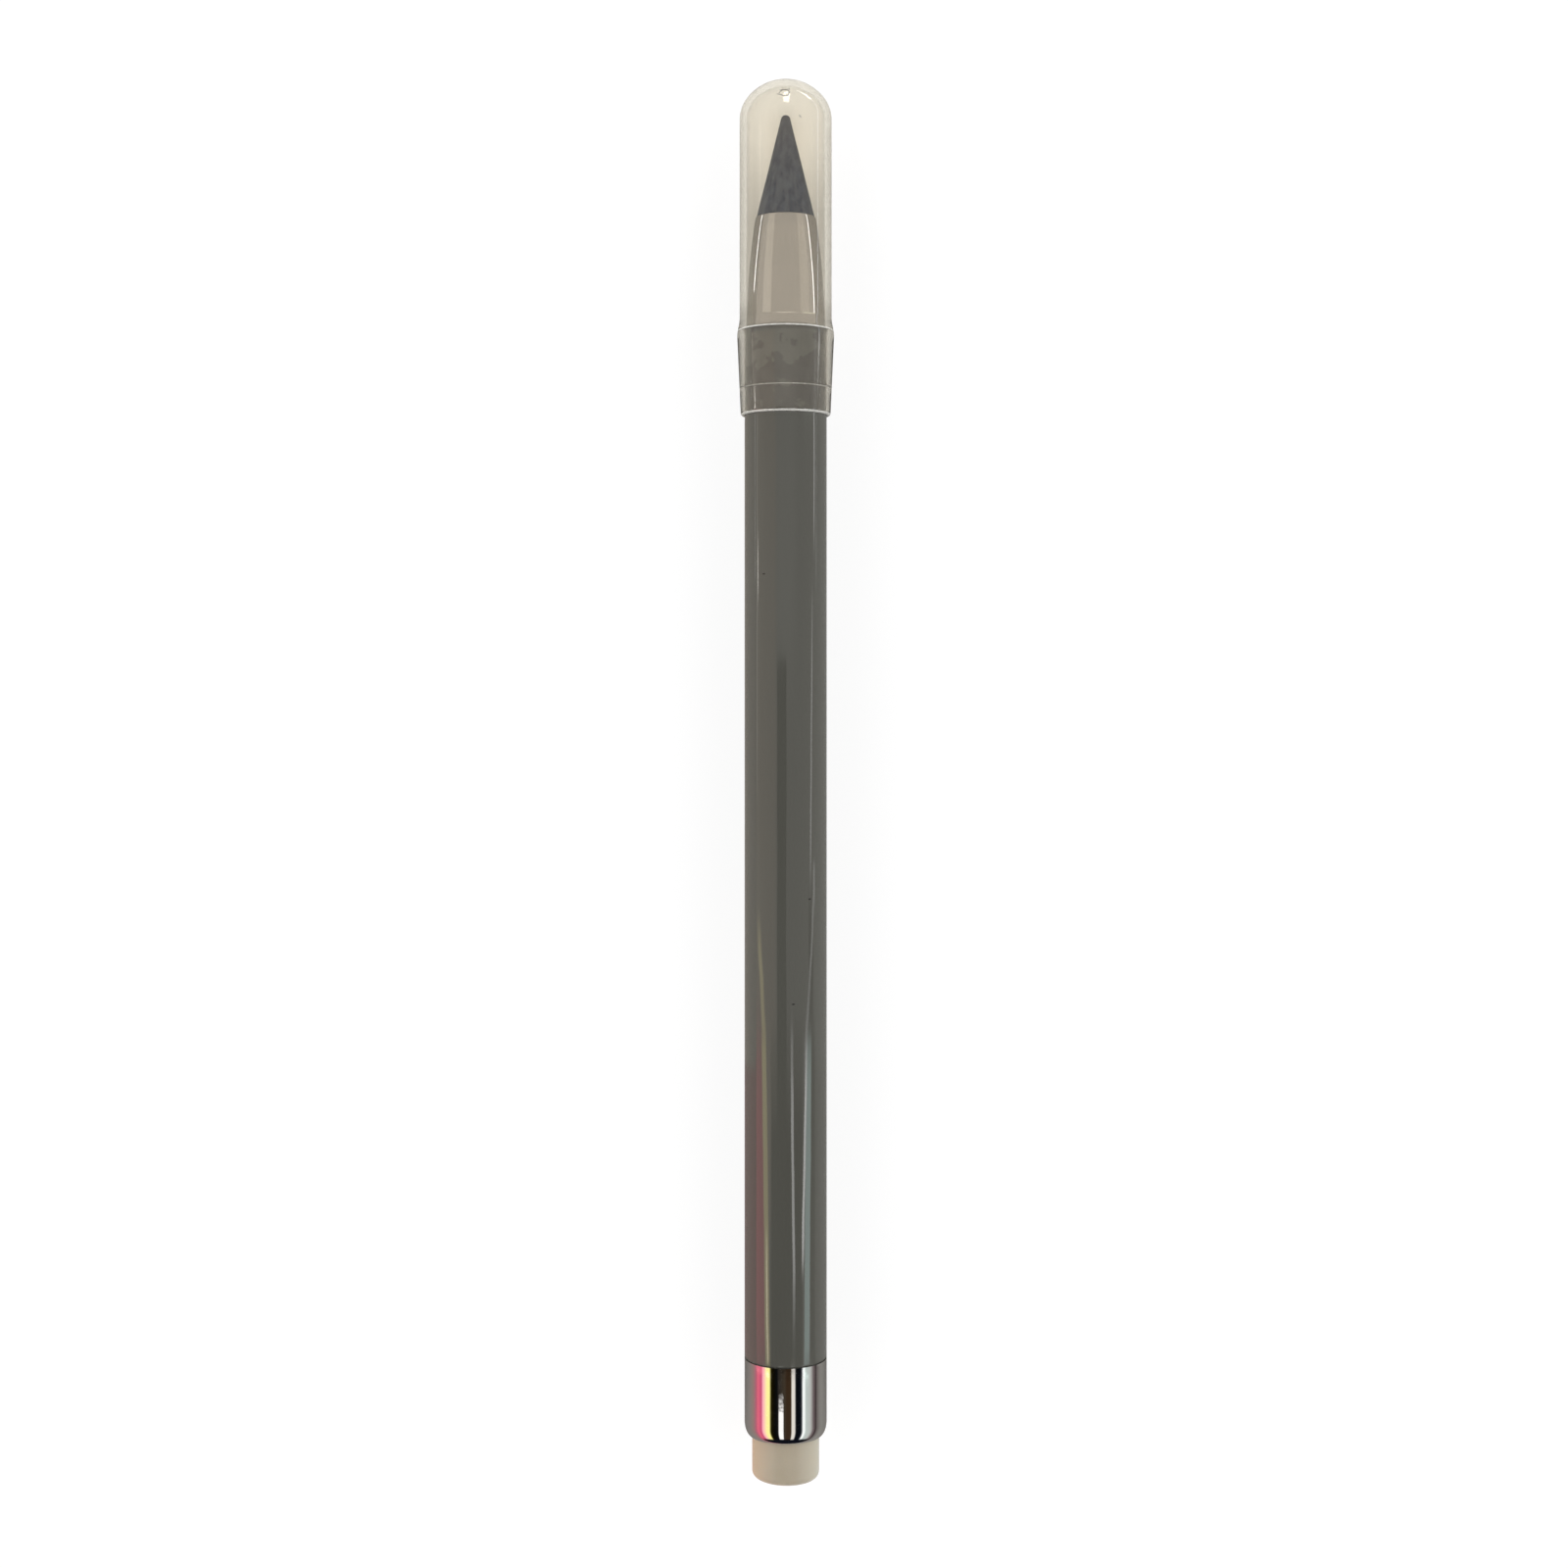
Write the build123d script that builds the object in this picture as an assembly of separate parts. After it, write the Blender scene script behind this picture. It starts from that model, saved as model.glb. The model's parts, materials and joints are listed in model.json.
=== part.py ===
from build123d import *

import math
import os

# An inkless pencil under a clear pull-off cap. A dark metal-and-graphite nib stands in a
# plated taper, which screws into the front of a grey moulded barrel. A plated ferrule is
# glued into the barrel's rear end and holds an eraser.
#
# Every piece is round about one axis, so each is drawn as a half outline of
# (radius, station) and spun about that axis. A station is a distance in millimetres from
# the eraser's end. The finished pencil then lies down along +X with its cap in front. The
# origin is on the ground under the middle of its length, and the cap's widest ring
# touches the ground.

# ---- Lengths along the axis ----
eraser_exposed = 5.3  # eraser that stands out of the ferrule
ferrule_length = 9.4  # plated band, from its mouth to the joint with the barrel
barrel_length = 124.8
sleeve_length = 13.7  # plated taper between the barrel and the nib
nib_length = 12.5  # dark cone, from the sleeve's rim to its tip
tip_room = 3.5  # air between the tip and the inside of the cap's dome
cap_overlap = 10.35  # how far the cap's skirt reaches back over the barrel

# ---- Barrel: a moulded tube with a thicker, threaded boss at its front ----
barrel_radius = 5.0
barrel_wall = 1.05  # at the rear, where the ferrule plugs in
barrel_draft = 0.15  # how much narrower the core pin left the bore further forward
boss_length = 11.0
boss_lead_in = 0.4
seat_taper = 0.03  # radius that the front loses under the cap, so that the cap starts easily
seat_margin = 0.3  # the seat begins this far behind the cap's lip
edge_break = 0.1  # small bevel on every moulded edge that a finger meets

# ---- Eraser ----
eraser_radius = 4.075
eraser_round = 0.9  # rounding of the end that rubs
eraser_bevel = 0.3  # bevel that leads the other end into its cup

# ---- Ferrule: cup for the eraser, closed web, and a spigot glued into the barrel ----
cup_depth = 6.5
cup_clearance = 0.1
mouth_land = 0.05  # flat ring between the cup and the rounded outside
mouth_round_length = 1.7
web_thickness = 1.2
spigot_length = 8.0
spigot_wall = 1.0
spigot_clearance = 0.03  # room for the glue
spigot_chamfer = 0.5
spigot_end_room = 1.0  # bore left straight beyond the spigot's end
glue_groove_depth = 0.2
glue_groove_width = 0.8
glue_groove_count = 2
crush_rib_count = 6
crush_rib_radius = 0.3
crush_rib_clearance = 0.01
crush_rib_setback = 1.0  # the ribs begin this far inside the mouth

# ---- Taper sleeve: a plated shell that carries the nib's screw ----
sleeve_step = 0.28  # how far its base stands inside the barrel's outline
sleeve_rim_radius = 3.685
sleeve_base_wall = 0.79  # around the recess for the carrier's flange
sleeve_rim_break = 0.15

# ---- Nib carrier: hidden moulding with a socket in front and a screw behind ----
thread_radius = 3.0
thread_clearance = 0.05
thread_length = 9.0
thread_chamfer = 0.5
flange_thickness = 1.15
flange_room = 0.05  # keeps the flange off the barrel, so that the sleeve's base clamps
flange_clearance = 0.03
carrier_wall = 0.72  # around the nib's stub
carrier_clearance = 0.03
carrier_rim_room = 0.15  # keeps the carrier's end below the sleeve's rim
carrier_web = 1.0  # between the socket's floor and the hole from behind
carrier_hole_radius = 1.6

# ---- Nib: a cone with a blunt point, and a stub glued into the carrier ----
nib_step = 0.16  # how far its base stands inside the sleeve's rim
nib_edge_break = 0.08
nib_tip_radius = 0.57
stub_radius = 2.0
stub_length = 6.0
stub_chamfer = 0.3
stub_clearance = 0.03
stub_end_room = 0.3
stub_groove_depth = 0.15
stub_groove_width = 0.6
stub_groove_count = 3

# ---- Cap: one clear moulding, a domed tube that flares into a gripping skirt ----
cap_sleeve_clearance = 0.12
tube_wall = 0.76
tube_draft = 0.08  # the inside narrows by this towards the dome
dome_height = 4.8
dome_wall = 0.8  # thickness at the apex
dome_shoulder_share = 0.85  # radius of the arc beside the tube, as a share of the dome's height
skirt_flare = 0.3  # how far the skirt's widest ring stands out of the tube
shoulder_setback = 0.8  # the widest ring lies this far behind the barrel's front face
shoulder_length = 2.5
grip_length = 3.25  # band behind the lip that grips the barrel
grip_clearance = 0.03
grip_relief = 0.1  # the bore opens by this in front of the band
grip_relief_length = 0.3
lip_lead_in = 0.1  # bevel inside the lip
lip_land = 0.05  # flat ring between the bevel and the rounding
lip_round = 0.3  # rounding outside the lip

# ---- Stations worked out from those lengths ----
joint_at = eraser_exposed + ferrule_length
front_at = joint_at + barrel_length
rim_at = front_at + sleeve_length
tip_at = rim_at + nib_length
lip_at = front_at - cap_overlap
apex_inside_at = tip_at + tip_room
apex_at = apex_inside_at + dome_wall
dome_at = apex_at - dome_height
cup_floor_at = eraser_exposed + cup_depth

# ---- Radii worked out from the pieces that fit each other ----
barrel_bore_radius = barrel_radius - barrel_wall
seat_front_radius = barrel_radius - seat_taper
boss_bore_radius = thread_radius + thread_clearance
cup_radius = eraser_radius + cup_clearance
spigot_radius = barrel_bore_radius - spigot_clearance
sleeve_base_radius = barrel_radius - sleeve_step
recess_radius = sleeve_base_radius - sleeve_base_wall
flange_radius = recess_radius - flange_clearance
socket_radius = stub_radius + stub_clearance
carrier_radius = socket_radius + carrier_wall
nib_radius = sleeve_rim_radius - nib_step
tube_bore_radius = sleeve_base_radius + cap_sleeve_clearance
tube_radius = tube_bore_radius + tube_wall
skirt_radius = tube_radius + skirt_flare
grip_radius = barrel_radius + grip_clearance
lip_radius = grip_radius + lip_lead_in + lip_land + lip_round


def turned(*edges):
    """Solid of revolution about the pencil's axis, from the edges of a closed half outline."""
    outline = make_face(Plane.XZ * Curve(children=edges))
    return revolve(outline, axis=Axis.Z)


def grooved_wall(radius, depth, width, count, start, end):
    """Outline points of a straight wall with evenly spaced square grooves between two stations."""
    pitch = (end - start) / (count + 1)
    points = []
    for number in range(1, count + 1):
        low = start + pitch * number - width / 2
        high = low + width
        points += [(radius, low), (radius - depth, low), (radius - depth, high), (radius, high)]
    return points


def dome_arcs(radius, height):
    """Two tangent arcs from a tube's wall up to the axis: the shoulder, then a flatter crown."""
    shoulder = dome_shoulder_share * height
    offset = radius - shoulder
    crown = (offset**2 + height**2 - shoulder**2) / (2 * (height - shoulder))
    meet = math.degrees(math.atan2(crown - height, offset))
    return [
        CenterArc((offset, dome_at), shoulder, 0, meet),
        CenterArc((0, dome_at + height - crown), crown, meet, 90 - meet),
    ]


def make_barrel():
    """Grey tube: open rear bore for the ferrule, boss with the screw's hole in front."""
    boss_at = front_at - boss_length
    narrow_radius = barrel_bore_radius - barrel_draft
    return turned(
        Polyline(
            (barrel_bore_radius + edge_break, joint_at),
            (barrel_radius - edge_break, joint_at),
            (barrel_radius, joint_at + edge_break),
            (barrel_radius, lip_at - seat_margin),
            (seat_front_radius, front_at),
            (boss_bore_radius + boss_lead_in, front_at),
            (boss_bore_radius, front_at - boss_lead_in),
            (boss_bore_radius, boss_at),
            (narrow_radius, boss_at - (narrow_radius - boss_bore_radius)),
            (barrel_bore_radius, joint_at + spigot_length + spigot_end_room),
            (barrel_bore_radius, joint_at + edge_break),
            close=True,
        )
    )


def make_eraser():
    """Eraser rod: rounded where it rubs, bevelled where it was pushed into the ferrule."""
    return turned(
        Line((0, 0), (eraser_radius - eraser_round, 0)),
        CenterArc((eraser_radius - eraser_round, eraser_round), eraser_round, 270, 90),
        Polyline(
            (eraser_radius, eraser_round),
            (eraser_radius, cup_floor_at - eraser_bevel),
            (eraser_radius - eraser_bevel, cup_floor_at),
            (0, cup_floor_at),
            (0, 0),
        ),
    )


def make_ferrule():
    """Plated band: eraser cup with crush ribs, a closed web, and the grooved spigot."""
    mouth_radius = cup_radius + mouth_land
    spigot_end = joint_at + spigot_length
    web_at = cup_floor_at + web_thickness
    band = turned(
        Line((cup_radius, eraser_exposed), (mouth_radius, eraser_exposed)),
        EllipticalCenterArc(
            (mouth_radius, eraser_exposed + mouth_round_length),
            barrel_radius - mouth_radius,
            mouth_round_length,
            start_angle=270,
        ),
        Polyline(
            (barrel_radius, eraser_exposed + mouth_round_length),
            (barrel_radius, joint_at - edge_break),
            (barrel_radius - edge_break, joint_at),
            (spigot_radius, joint_at),
            *grooved_wall(
                spigot_radius,
                glue_groove_depth,
                glue_groove_width,
                glue_groove_count,
                joint_at,
                spigot_end,
            ),
            (spigot_radius, spigot_end - spigot_chamfer),
            (spigot_radius - spigot_chamfer, spigot_end),
            (spigot_radius - spigot_wall, spigot_end),
            (spigot_radius - spigot_wall, web_at),
            (0, web_at),
            (0, cup_floor_at),
            (cup_radius, cup_floor_at),
            (cup_radius, eraser_exposed),
        ),
    )
    rib_length = cup_depth - crush_rib_setback
    crest_radius = eraser_radius + crush_rib_clearance
    rib = Cylinder(crush_rib_radius, rib_length, align=(Align.CENTER, Align.CENTER, Align.MAX))
    rib_ring = PolarLocations(crest_radius + crush_rib_radius, crush_rib_count)
    return band + [Pos(0, 0, cup_floor_at) * place * rib for place in rib_ring]


def make_taper_sleeve():
    """Plated shell: an arc that leaves the barrel parallel to the axis and closes on the nib."""
    bore_radius = carrier_radius + carrier_clearance
    recess_at = front_at + flange_room + flange_thickness
    side_end = (sleeve_rim_radius, rim_at - sleeve_rim_break)
    return turned(
        TangentArc((sleeve_base_radius, front_at), side_end, tangent=(0, 1)),
        Polyline(
            side_end,
            (sleeve_rim_radius - sleeve_rim_break, rim_at),
            (bore_radius, rim_at),
            (bore_radius, recess_at),
            (recess_radius, recess_at),
            (recess_radius, front_at),
            (sleeve_base_radius, front_at),
        ),
    )


def make_nib_carrier():
    """Hidden moulding: socket for the nib, flange held by the sleeve, screw for the barrel."""
    flange_at = front_at + flange_room
    thread_end = flange_at - thread_length
    end_at = rim_at - carrier_rim_room
    floor_at = rim_at - stub_length - stub_end_room
    return turned(
        Polyline(
            (carrier_hole_radius, thread_end),
            (thread_radius - thread_chamfer, thread_end),
            (thread_radius, thread_end + thread_chamfer),
            (thread_radius, flange_at),
            (flange_radius, flange_at),
            (flange_radius, flange_at + flange_thickness),
            (carrier_radius, flange_at + flange_thickness),
            (carrier_radius, end_at),
            (socket_radius, end_at),
            (socket_radius, floor_at),
            (0, floor_at),
            (0, floor_at - carrier_web),
            (carrier_hole_radius, floor_at - carrier_web),
            close=True,
        )
    )


def make_nib():
    """Dark cone whose side runs tangent into its blunt tip, on a grooved stub."""
    stub_end = rim_at - stub_length
    side_at = rim_at + nib_edge_break
    tip_centre = tip_at - nib_tip_radius
    # The side is the line from the base that just touches the tip's sphere.
    reach = math.hypot(nib_radius, tip_centre - side_at)
    slope = math.atan2(tip_centre - side_at, nib_radius)
    half_angle = math.acos(nib_tip_radius / reach) - slope
    touch = (
        nib_tip_radius * math.cos(half_angle),
        tip_centre + nib_tip_radius * math.sin(half_angle),
    )
    opening = math.degrees(half_angle)
    return turned(
        Polyline(
            (0, tip_at),
            (0, stub_end),
            (stub_radius - stub_chamfer, stub_end),
            (stub_radius, stub_end + stub_chamfer),
            *grooved_wall(
                stub_radius,
                stub_groove_depth,
                stub_groove_width,
                stub_groove_count,
                stub_end,
                rim_at,
            ),
            (stub_radius, rim_at),
            (nib_radius - nib_edge_break, rim_at),
            (nib_radius, side_at),
            touch,
        ),
        CenterArc((0, tip_centre), nib_tip_radius, opening, 90 - opening),
    )


def make_cap():
    """Clear moulding: skirt that grips the barrel, S-shaped shoulder, tube and dome."""
    widest_at = front_at - shoulder_setback
    shoulder_end = widest_at + shoulder_length
    widest = (skirt_radius, widest_at)
    half_way = ((skirt_radius + tube_radius) / 2, (widest_at + shoulder_end) / 2)
    tube_start = (tube_radius, shoulder_end)
    relief_radius = grip_radius + grip_relief
    grip_end = lip_at + grip_length
    dome_bore_radius = tube_bore_radius - tube_draft
    return turned(
        Line((grip_radius + lip_lead_in, lip_at), (lip_radius - lip_round, lip_at)),
        CenterArc((lip_radius - lip_round, lip_at + lip_round), lip_round, 270, 90),
        Line((lip_radius, lip_at + lip_round), widest),
        TangentArc(widest, half_way, tangent=(0, 1)),
        TangentArc(tube_start, half_way, tangent=(0, -1)),
        Line(tube_start, (tube_radius, dome_at)),
        *dome_arcs(tube_radius, dome_height),
        Line((0, apex_at), (0, apex_inside_at)),
        *dome_arcs(dome_bore_radius, dome_height - dome_wall),
        Polyline(
            (dome_bore_radius, dome_at),
            (tube_bore_radius, front_at),
            (relief_radius, front_at),
            (relief_radius, grip_end + grip_relief_length),
            (grip_radius, grip_end),
            (grip_radius, lip_at + lip_lead_in),
            (grip_radius + lip_lead_in, lip_at),
        ),
    )


pieces = {
    "barrel": make_barrel(),
    "eraser": make_eraser(),
    "ferrule": make_ferrule(),
    "taper_sleeve": make_taper_sleeve(),
    "nib_carrier": make_nib_carrier(),
    "nib": make_nib(),
    "cap": make_cap(),
}

# Lay the pencil along +X, its middle over the origin and its widest ring on the ground.
laid_down = Location((-apex_at / 2, 0, skirt_radius), (0, 90, 0))
os.makedirs("parts", exist_ok=True)
for name, piece in pieces.items():
    export_step(laid_down * piece, f"parts/{name}.step")
    print(name, round(piece.volume, 1), "mm3")
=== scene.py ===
# %% [markdown]
# # An inkless pencil under a clear cap
# The object is a pencil that never needs sharpening. A dark metal-and-graphite nib stands in a
# plated taper, the taper screws into a glossy grey barrel, and a plated ferrule holds an eraser
# at the other end. A clear domed cap pulls off the front.
#
# Every solid is already made and packed, so this script only dresses it. It loads the packed
# model as a fixed frame, turns a finer mesh for each piece in the same place, gives it a
# finish, lights it, and says which body each piece moves with.

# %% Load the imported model
import json
import math

import bmesh
import bpy
from mathutils import Matrix, Vector

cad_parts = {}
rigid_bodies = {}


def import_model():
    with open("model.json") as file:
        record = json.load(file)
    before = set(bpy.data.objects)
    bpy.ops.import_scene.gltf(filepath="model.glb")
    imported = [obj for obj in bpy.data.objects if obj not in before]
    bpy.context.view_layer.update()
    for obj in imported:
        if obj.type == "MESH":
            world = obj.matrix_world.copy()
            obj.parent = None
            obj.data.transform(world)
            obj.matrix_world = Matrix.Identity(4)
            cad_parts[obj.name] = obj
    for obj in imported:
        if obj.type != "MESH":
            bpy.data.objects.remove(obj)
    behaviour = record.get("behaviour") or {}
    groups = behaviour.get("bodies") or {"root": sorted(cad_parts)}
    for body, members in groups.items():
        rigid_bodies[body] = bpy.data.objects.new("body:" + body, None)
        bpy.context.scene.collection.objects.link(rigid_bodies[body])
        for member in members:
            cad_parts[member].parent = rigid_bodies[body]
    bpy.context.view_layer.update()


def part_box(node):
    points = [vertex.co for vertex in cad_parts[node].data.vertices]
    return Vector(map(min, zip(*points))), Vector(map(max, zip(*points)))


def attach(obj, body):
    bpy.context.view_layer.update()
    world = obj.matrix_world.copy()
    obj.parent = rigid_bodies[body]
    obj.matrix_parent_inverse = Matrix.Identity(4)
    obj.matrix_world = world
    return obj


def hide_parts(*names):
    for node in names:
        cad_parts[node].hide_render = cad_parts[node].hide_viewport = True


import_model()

# %% [markdown]
# ## Sizes
# Blender works in metres, but a pencil is drawn in millimetres, so every size below is in
# millimetres and one factor turns it to metres at the very end. The places come from the
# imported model's own boxes, which is safer than typing them in again. Each piece is round
# about one line that runs along X, so its rear end, its front end and its widest radius say
# where it goes.

# %% Measure each piece
MM = 0.001


def measure(node):
    """Rear end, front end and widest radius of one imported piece, in millimetres."""
    low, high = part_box(node)
    return low.x / MM, high.x / MM, (high.y - low.y) / 2 / MM


barrel_rear, barrel_front, barrel_radius = measure("barrel")
eraser_rear, eraser_front, eraser_radius = measure("eraser")
ferrule_rear, spigot_front, ferrule_radius = measure("ferrule")
sleeve_base, sleeve_rim, sleeve_radius = measure("taper_sleeve")
screw_rear, socket_front, flange_radius = measure("nib_carrier")
stub_rear, nib_tip, nib_radius = measure("nib")
lip, apex, cap_radius = measure("cap")
axis_height = (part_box("barrel")[0].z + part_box("barrel")[1].z) / 2 / MM
print(f"the pencil is {apex - eraser_rear:.1f} mm long and its axis is {axis_height:.2f} mm up")

# %% [markdown]
# ## Camera
# The pencil is seen from straight above, from about the reach of an arm. Being that near
# matters: the far end of a long thin thing looks slightly smaller, and each reflection leans
# a little differently along it. The lens follows from the distance and from how much of the
# table the frame takes in, and a small shift sets the framing without tilting the camera.

# %% Place the camera
camera_distance = 272.0  # from the pencil's axis
frame_width = 190.9  # width of table in view at the height of the axis
camera_station = 9.96  # the camera stands over this point of the axis
camera_aside = 0.2
shift_share = -0.0556  # of the frame's width
SENSOR = 36.0

lens = bpy.data.cameras.new("camera")
lens.sensor_width = SENSOR
lens.lens = SENSOR * camera_distance / frame_width
lens.shift_y = shift_share
lens.clip_start = 10 * MM
camera = bpy.data.objects.new("camera", lens)
camera.location = Vector((camera_station, camera_aside, axis_height + camera_distance)) * MM
camera.rotation_euler = (0, 0, math.radians(-90))
bpy.context.scene.collection.objects.link(camera)
bpy.context.scene.camera = camera
print(f"lens {lens.lens:.1f} mm at {camera_distance:.0f} mm")

# %% [markdown]
# ## A template for the lathe
# Round pieces are easiest to make as a turner makes them: draw half of the section, then turn
# it about the axis. The half section is a chain of edges. A straight cut extrudes the last
# point to a new one, and an arc spins the last point about a centre. Typing out the points
# of an arc would work too, but the spin keeps the drawing short and its radius exact. Long
# straight cuts get two extra points, because smooth shading would otherwise carry the turn
# of a neighbouring arc along them, and polished metal shows that at once.

# %% Draw an outline
HOLD = 0.15


class Outline:
    """A chain of edges in the half plane above the axis: along is X and radius is Z, in mm."""

    def __init__(self, along, radius):
        self.bm = bmesh.new()
        self.tip = self.bm.verts.new((along, 0, radius))

    def to(self, along, radius):
        """Straight cut to a point. A long one is held near both ends, which keeps it flat."""
        start, end = self.tip.co.copy(), Vector((along, 0, radius))
        hold = HOLD / max((end - start).length, HOLD)
        for share in (hold, 1 - hold, 1) if hold < 0.25 else (1,):
            made = bmesh.ops.extrude_vert_indiv(self.bm, verts=[self.tip])
            self.tip = made["verts"][0]
            self.tip.co = start.lerp(end, share)
        return self

    def arc(self, along, radius, degrees, steps=12, flatten=1.0):
        """Arc about a centre: positive degrees lead forwards. Flatten squeezes its height."""
        centre = Vector((along, 0, radius))
        made = bmesh.ops.spin(
            self.bm,
            geom=[self.tip],
            cent=centre,
            axis=(0, 1, 0),
            angle=math.radians(degrees),
            steps=steps,
            use_duplicate=False,
        )
        self.tip = next(part for part in made["geom_last"] if isinstance(part, bmesh.types.BMVert))
        self.bm.verts.ensure_lookup_table()
        swept = self.bm.verts[-steps:]
        centred = Matrix.Translation(-centre)
        bmesh.ops.scale(self.bm, vec=(1, 1, flatten), space=centred, verts=swept)
        return self


print(f"a long cut is held {HOLD} mm from its ends")

# %% [markdown]
# ## Turning, softening and placing
# One full spin makes the body, and the first and last copies are merged so that no seam is
# left. Real edges are never perfectly sharp: a narrow bevel catches the light as a worn or
# moulded edge does. Last, the mesh is brought to metres and moved to its place, while its
# object stays at the origin, so that patterns on it stay put in every pose.

# %% Turn an outline
TURN_STEPS = 144
WELD = 1e-4
SHARP = math.radians(32)


def turn(outline, steps=TURN_STEPS):
    """Spin an outline once about the axis into a closed body with its faces outwards."""
    bm = outline.bm
    bmesh.ops.remove_doubles(bm, verts=bm.verts, dist=WELD)
    bmesh.ops.spin(
        bm,
        geom=bm.verts[:] + bm.edges[:],
        cent=(0, 0, 0),
        axis=(1, 0, 0),
        angle=math.tau,
        steps=steps,
        use_merge=True,
        use_duplicate=False,
    )
    bmesh.ops.remove_doubles(bm, verts=bm.verts, dist=WELD)
    bmesh.ops.recalc_face_normals(bm, faces=bm.faces)
    return bm


print("one turn has", TURN_STEPS, "steps")

# %% [markdown]
# The bevel is an edge operator, so it takes the rings whose faces meet at more than a slight
# angle. The same test tells the shading which edges to keep crisp.


# %% Soften the edges and place the piece
FINE, BROAD = 0.03, 0.05


def soften(bm, width, segments=2):
    """Round every sharp edge by a narrow bevel."""
    rings = [edge for edge in bm.edges if edge.calc_face_angle(0) > SHARP]
    bmesh.ops.bevel(
        bm,
        geom=rings,
        offset=width,
        affect="EDGES",
        segments=segments,
        profile=0.5,
        material=-1,
        clamp_overlap=True,
    )
    return bm


def place(name, bm, material, body, slot, *nodes):
    """Make the piece an object in the frame, with its finish, body and the nodes it stands for."""
    for edge in bm.edges:
        edge.smooth = edge.calc_face_angle(0) < SHARP
    for face in bm.faces:
        face.smooth = True
    bmesh.ops.translate(bm, vec=(0, 0, axis_height), verts=bm.verts)
    bmesh.ops.scale(bm, vec=(MM, MM, MM), verts=bm.verts)
    mesh = bpy.data.meshes.new(name)
    bm.to_mesh(mesh)
    bm.free()
    mesh.materials.append(material)
    piece = bpy.data.objects.new(name, mesh)
    bpy.context.scene.collection.objects.link(piece)
    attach(piece, body)
    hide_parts(*nodes)
    print(f"{name}: {len(mesh.polygons)} faces, on {body}")
    return piece


print(f"edges sharper than {math.degrees(SHARP):.0f} degrees are softened")

# %% [markdown]
# ## Mixing finishes
# Each finish is a small network of nodes. Colours are written as the eye reads them on a
# screen, in hex, and one function turns them to the linear values that the renderer adds up.
# A second fills the inputs of a node, and a third adds a node of any kind. An input takes a
# plain value, an output of another node, or a whole node, which then gives the first output
# it has in use.
#
# Some nodes name their inputs only by number. Map Range takes a value as 0, its two limits
# as 1 and 2, and what they turn into as 3 and 4, which start as zero and one. A colour Mix
# takes the share as 0 and its two colours as 6 and 7.


# %% Colour and node helpers
def linear(code, strength=1.0):
    """Linear RGBA from an sRGB hex colour."""
    values = [int(code[i : i + 2], 16) / 255 for i in (0, 2, 4)]
    curved = [v / 12.92 if v <= 0.04045 else ((v + 0.055) / 1.055) ** 2.4 for v in values]
    return tuple(strength * v for v in curved) + (1.0,)


def fill(tree, node, inputs):
    """Fill a node's inputs with values, with other nodes' outputs, or with whole nodes."""
    for name, value in inputs.items():
        if isinstance(value, bpy.types.Node):
            value = next(output for output in value.outputs if output.enabled)
        if isinstance(value, bpy.types.NodeSocket):
            tree.links.new(value, node.inputs[name])
        else:
            node.inputs[name].default_value = value


def add(tree, kind, inputs=None, **settings):
    """Add a node of any kind, named without its ShaderNode, with its settings and inputs."""
    node = tree.nodes.new("ShaderNode" + kind)
    for name, value in settings.items():
        setattr(node, name, value)
    fill(tree, node, inputs or {})
    return node


def new_finish(name):
    """A new material: itself, its node tree, its main shader and the object's own coordinates."""
    material = bpy.data.materials.new(name)
    material.use_nodes = True
    tree = material.node_tree
    spot = add(tree, "TexCoord").outputs["Object"]
    return material, tree, tree.nodes["Principled BSDF"], spot


def per_mm(size):
    """Texture scale at which a pattern repeats about every so many millimetres."""
    return 1 / (size * MM)


print("mid grey, linear:", [round(value, 3) for value in linear("808080")])

# %% [markdown]
# ## Barrel: moulded ABS
# The barrel is ABS, moulded in a warm mid grey. One flat grey would do for a drawing, but
# real pigment is drawn out a little by the flow in the mould, so a noise stretched along the
# barrel streaks it. Where the cap's skirt slides on and off, the barrel is painted a pale,
# cloudy band: partly the gloss rubbed to a haze, partly a painted reflection of the skirt over
# it. Near the front the band is painted paler still, a veil that frays out rearwards in
# ragged patches, again partly wear and partly painted reflection.

# %% Barrel colour and wear
RUBBED_FROM = lip - 0.3
RUBBED_TO = barrel_front - 0.6
VEIL_FROM = barrel_front - 5.2
VEIL_WHOLE = barrel_front - 3.2
barrel_abs, tree, shader, spot = new_finish("moulded_grey_abs")
along = add(tree, "SeparateXYZ", {0: spot}).outputs["X"]
drawn_out = add(tree, "Mapping", {"Vector": spot, "Scale": (1 / 7, 1, 1)})
streaks = add(tree, "TexNoise", {"Vector": drawn_out, "Scale": per_mm(5), "Detail": 3.0})
grey = add(tree, "Mix", {0: streaks, 6: linear("504f49"), 7: linear("575751")}, data_type="RGBA")
# Partly haze, partly painted reflection, in clouds of 1 to 3 mm: the eye reads it as a used,
# lighter collar.
rubbed = add(tree, "MapRange", {0: along, 1: RUBBED_FROM * MM, 2: (RUBBED_FROM + 0.5) * MM})
fading = {0: along, 1: (RUBBED_TO + 0.4) * MM, 2: RUBBED_TO * MM, 3: 0.35, 4: 1.0}
fading = add(tree, "MapRange", fading)
rubbed = add(tree, "Math", {0: rubbed, 1: fading}, operation="MULTIPLY")
clouds = add(tree, "TexNoise", {"Vector": spot, "Scale": per_mm(2.6), "Detail": 4.0})
clouds = add(tree, "MapRange", {0: clouds, 1: 0.38, 2: 0.62, 3: 0.4, 4: 0.75})
haze_and_painted_reflection = add(tree, "Math", {0: rubbed, 1: clouds}, operation="MULTIPLY")
grey = add(tree, "Mix", {0: haze_and_painted_reflection, 6: grey, 7: linear("6a6967")}, data_type="RGBA")
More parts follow.
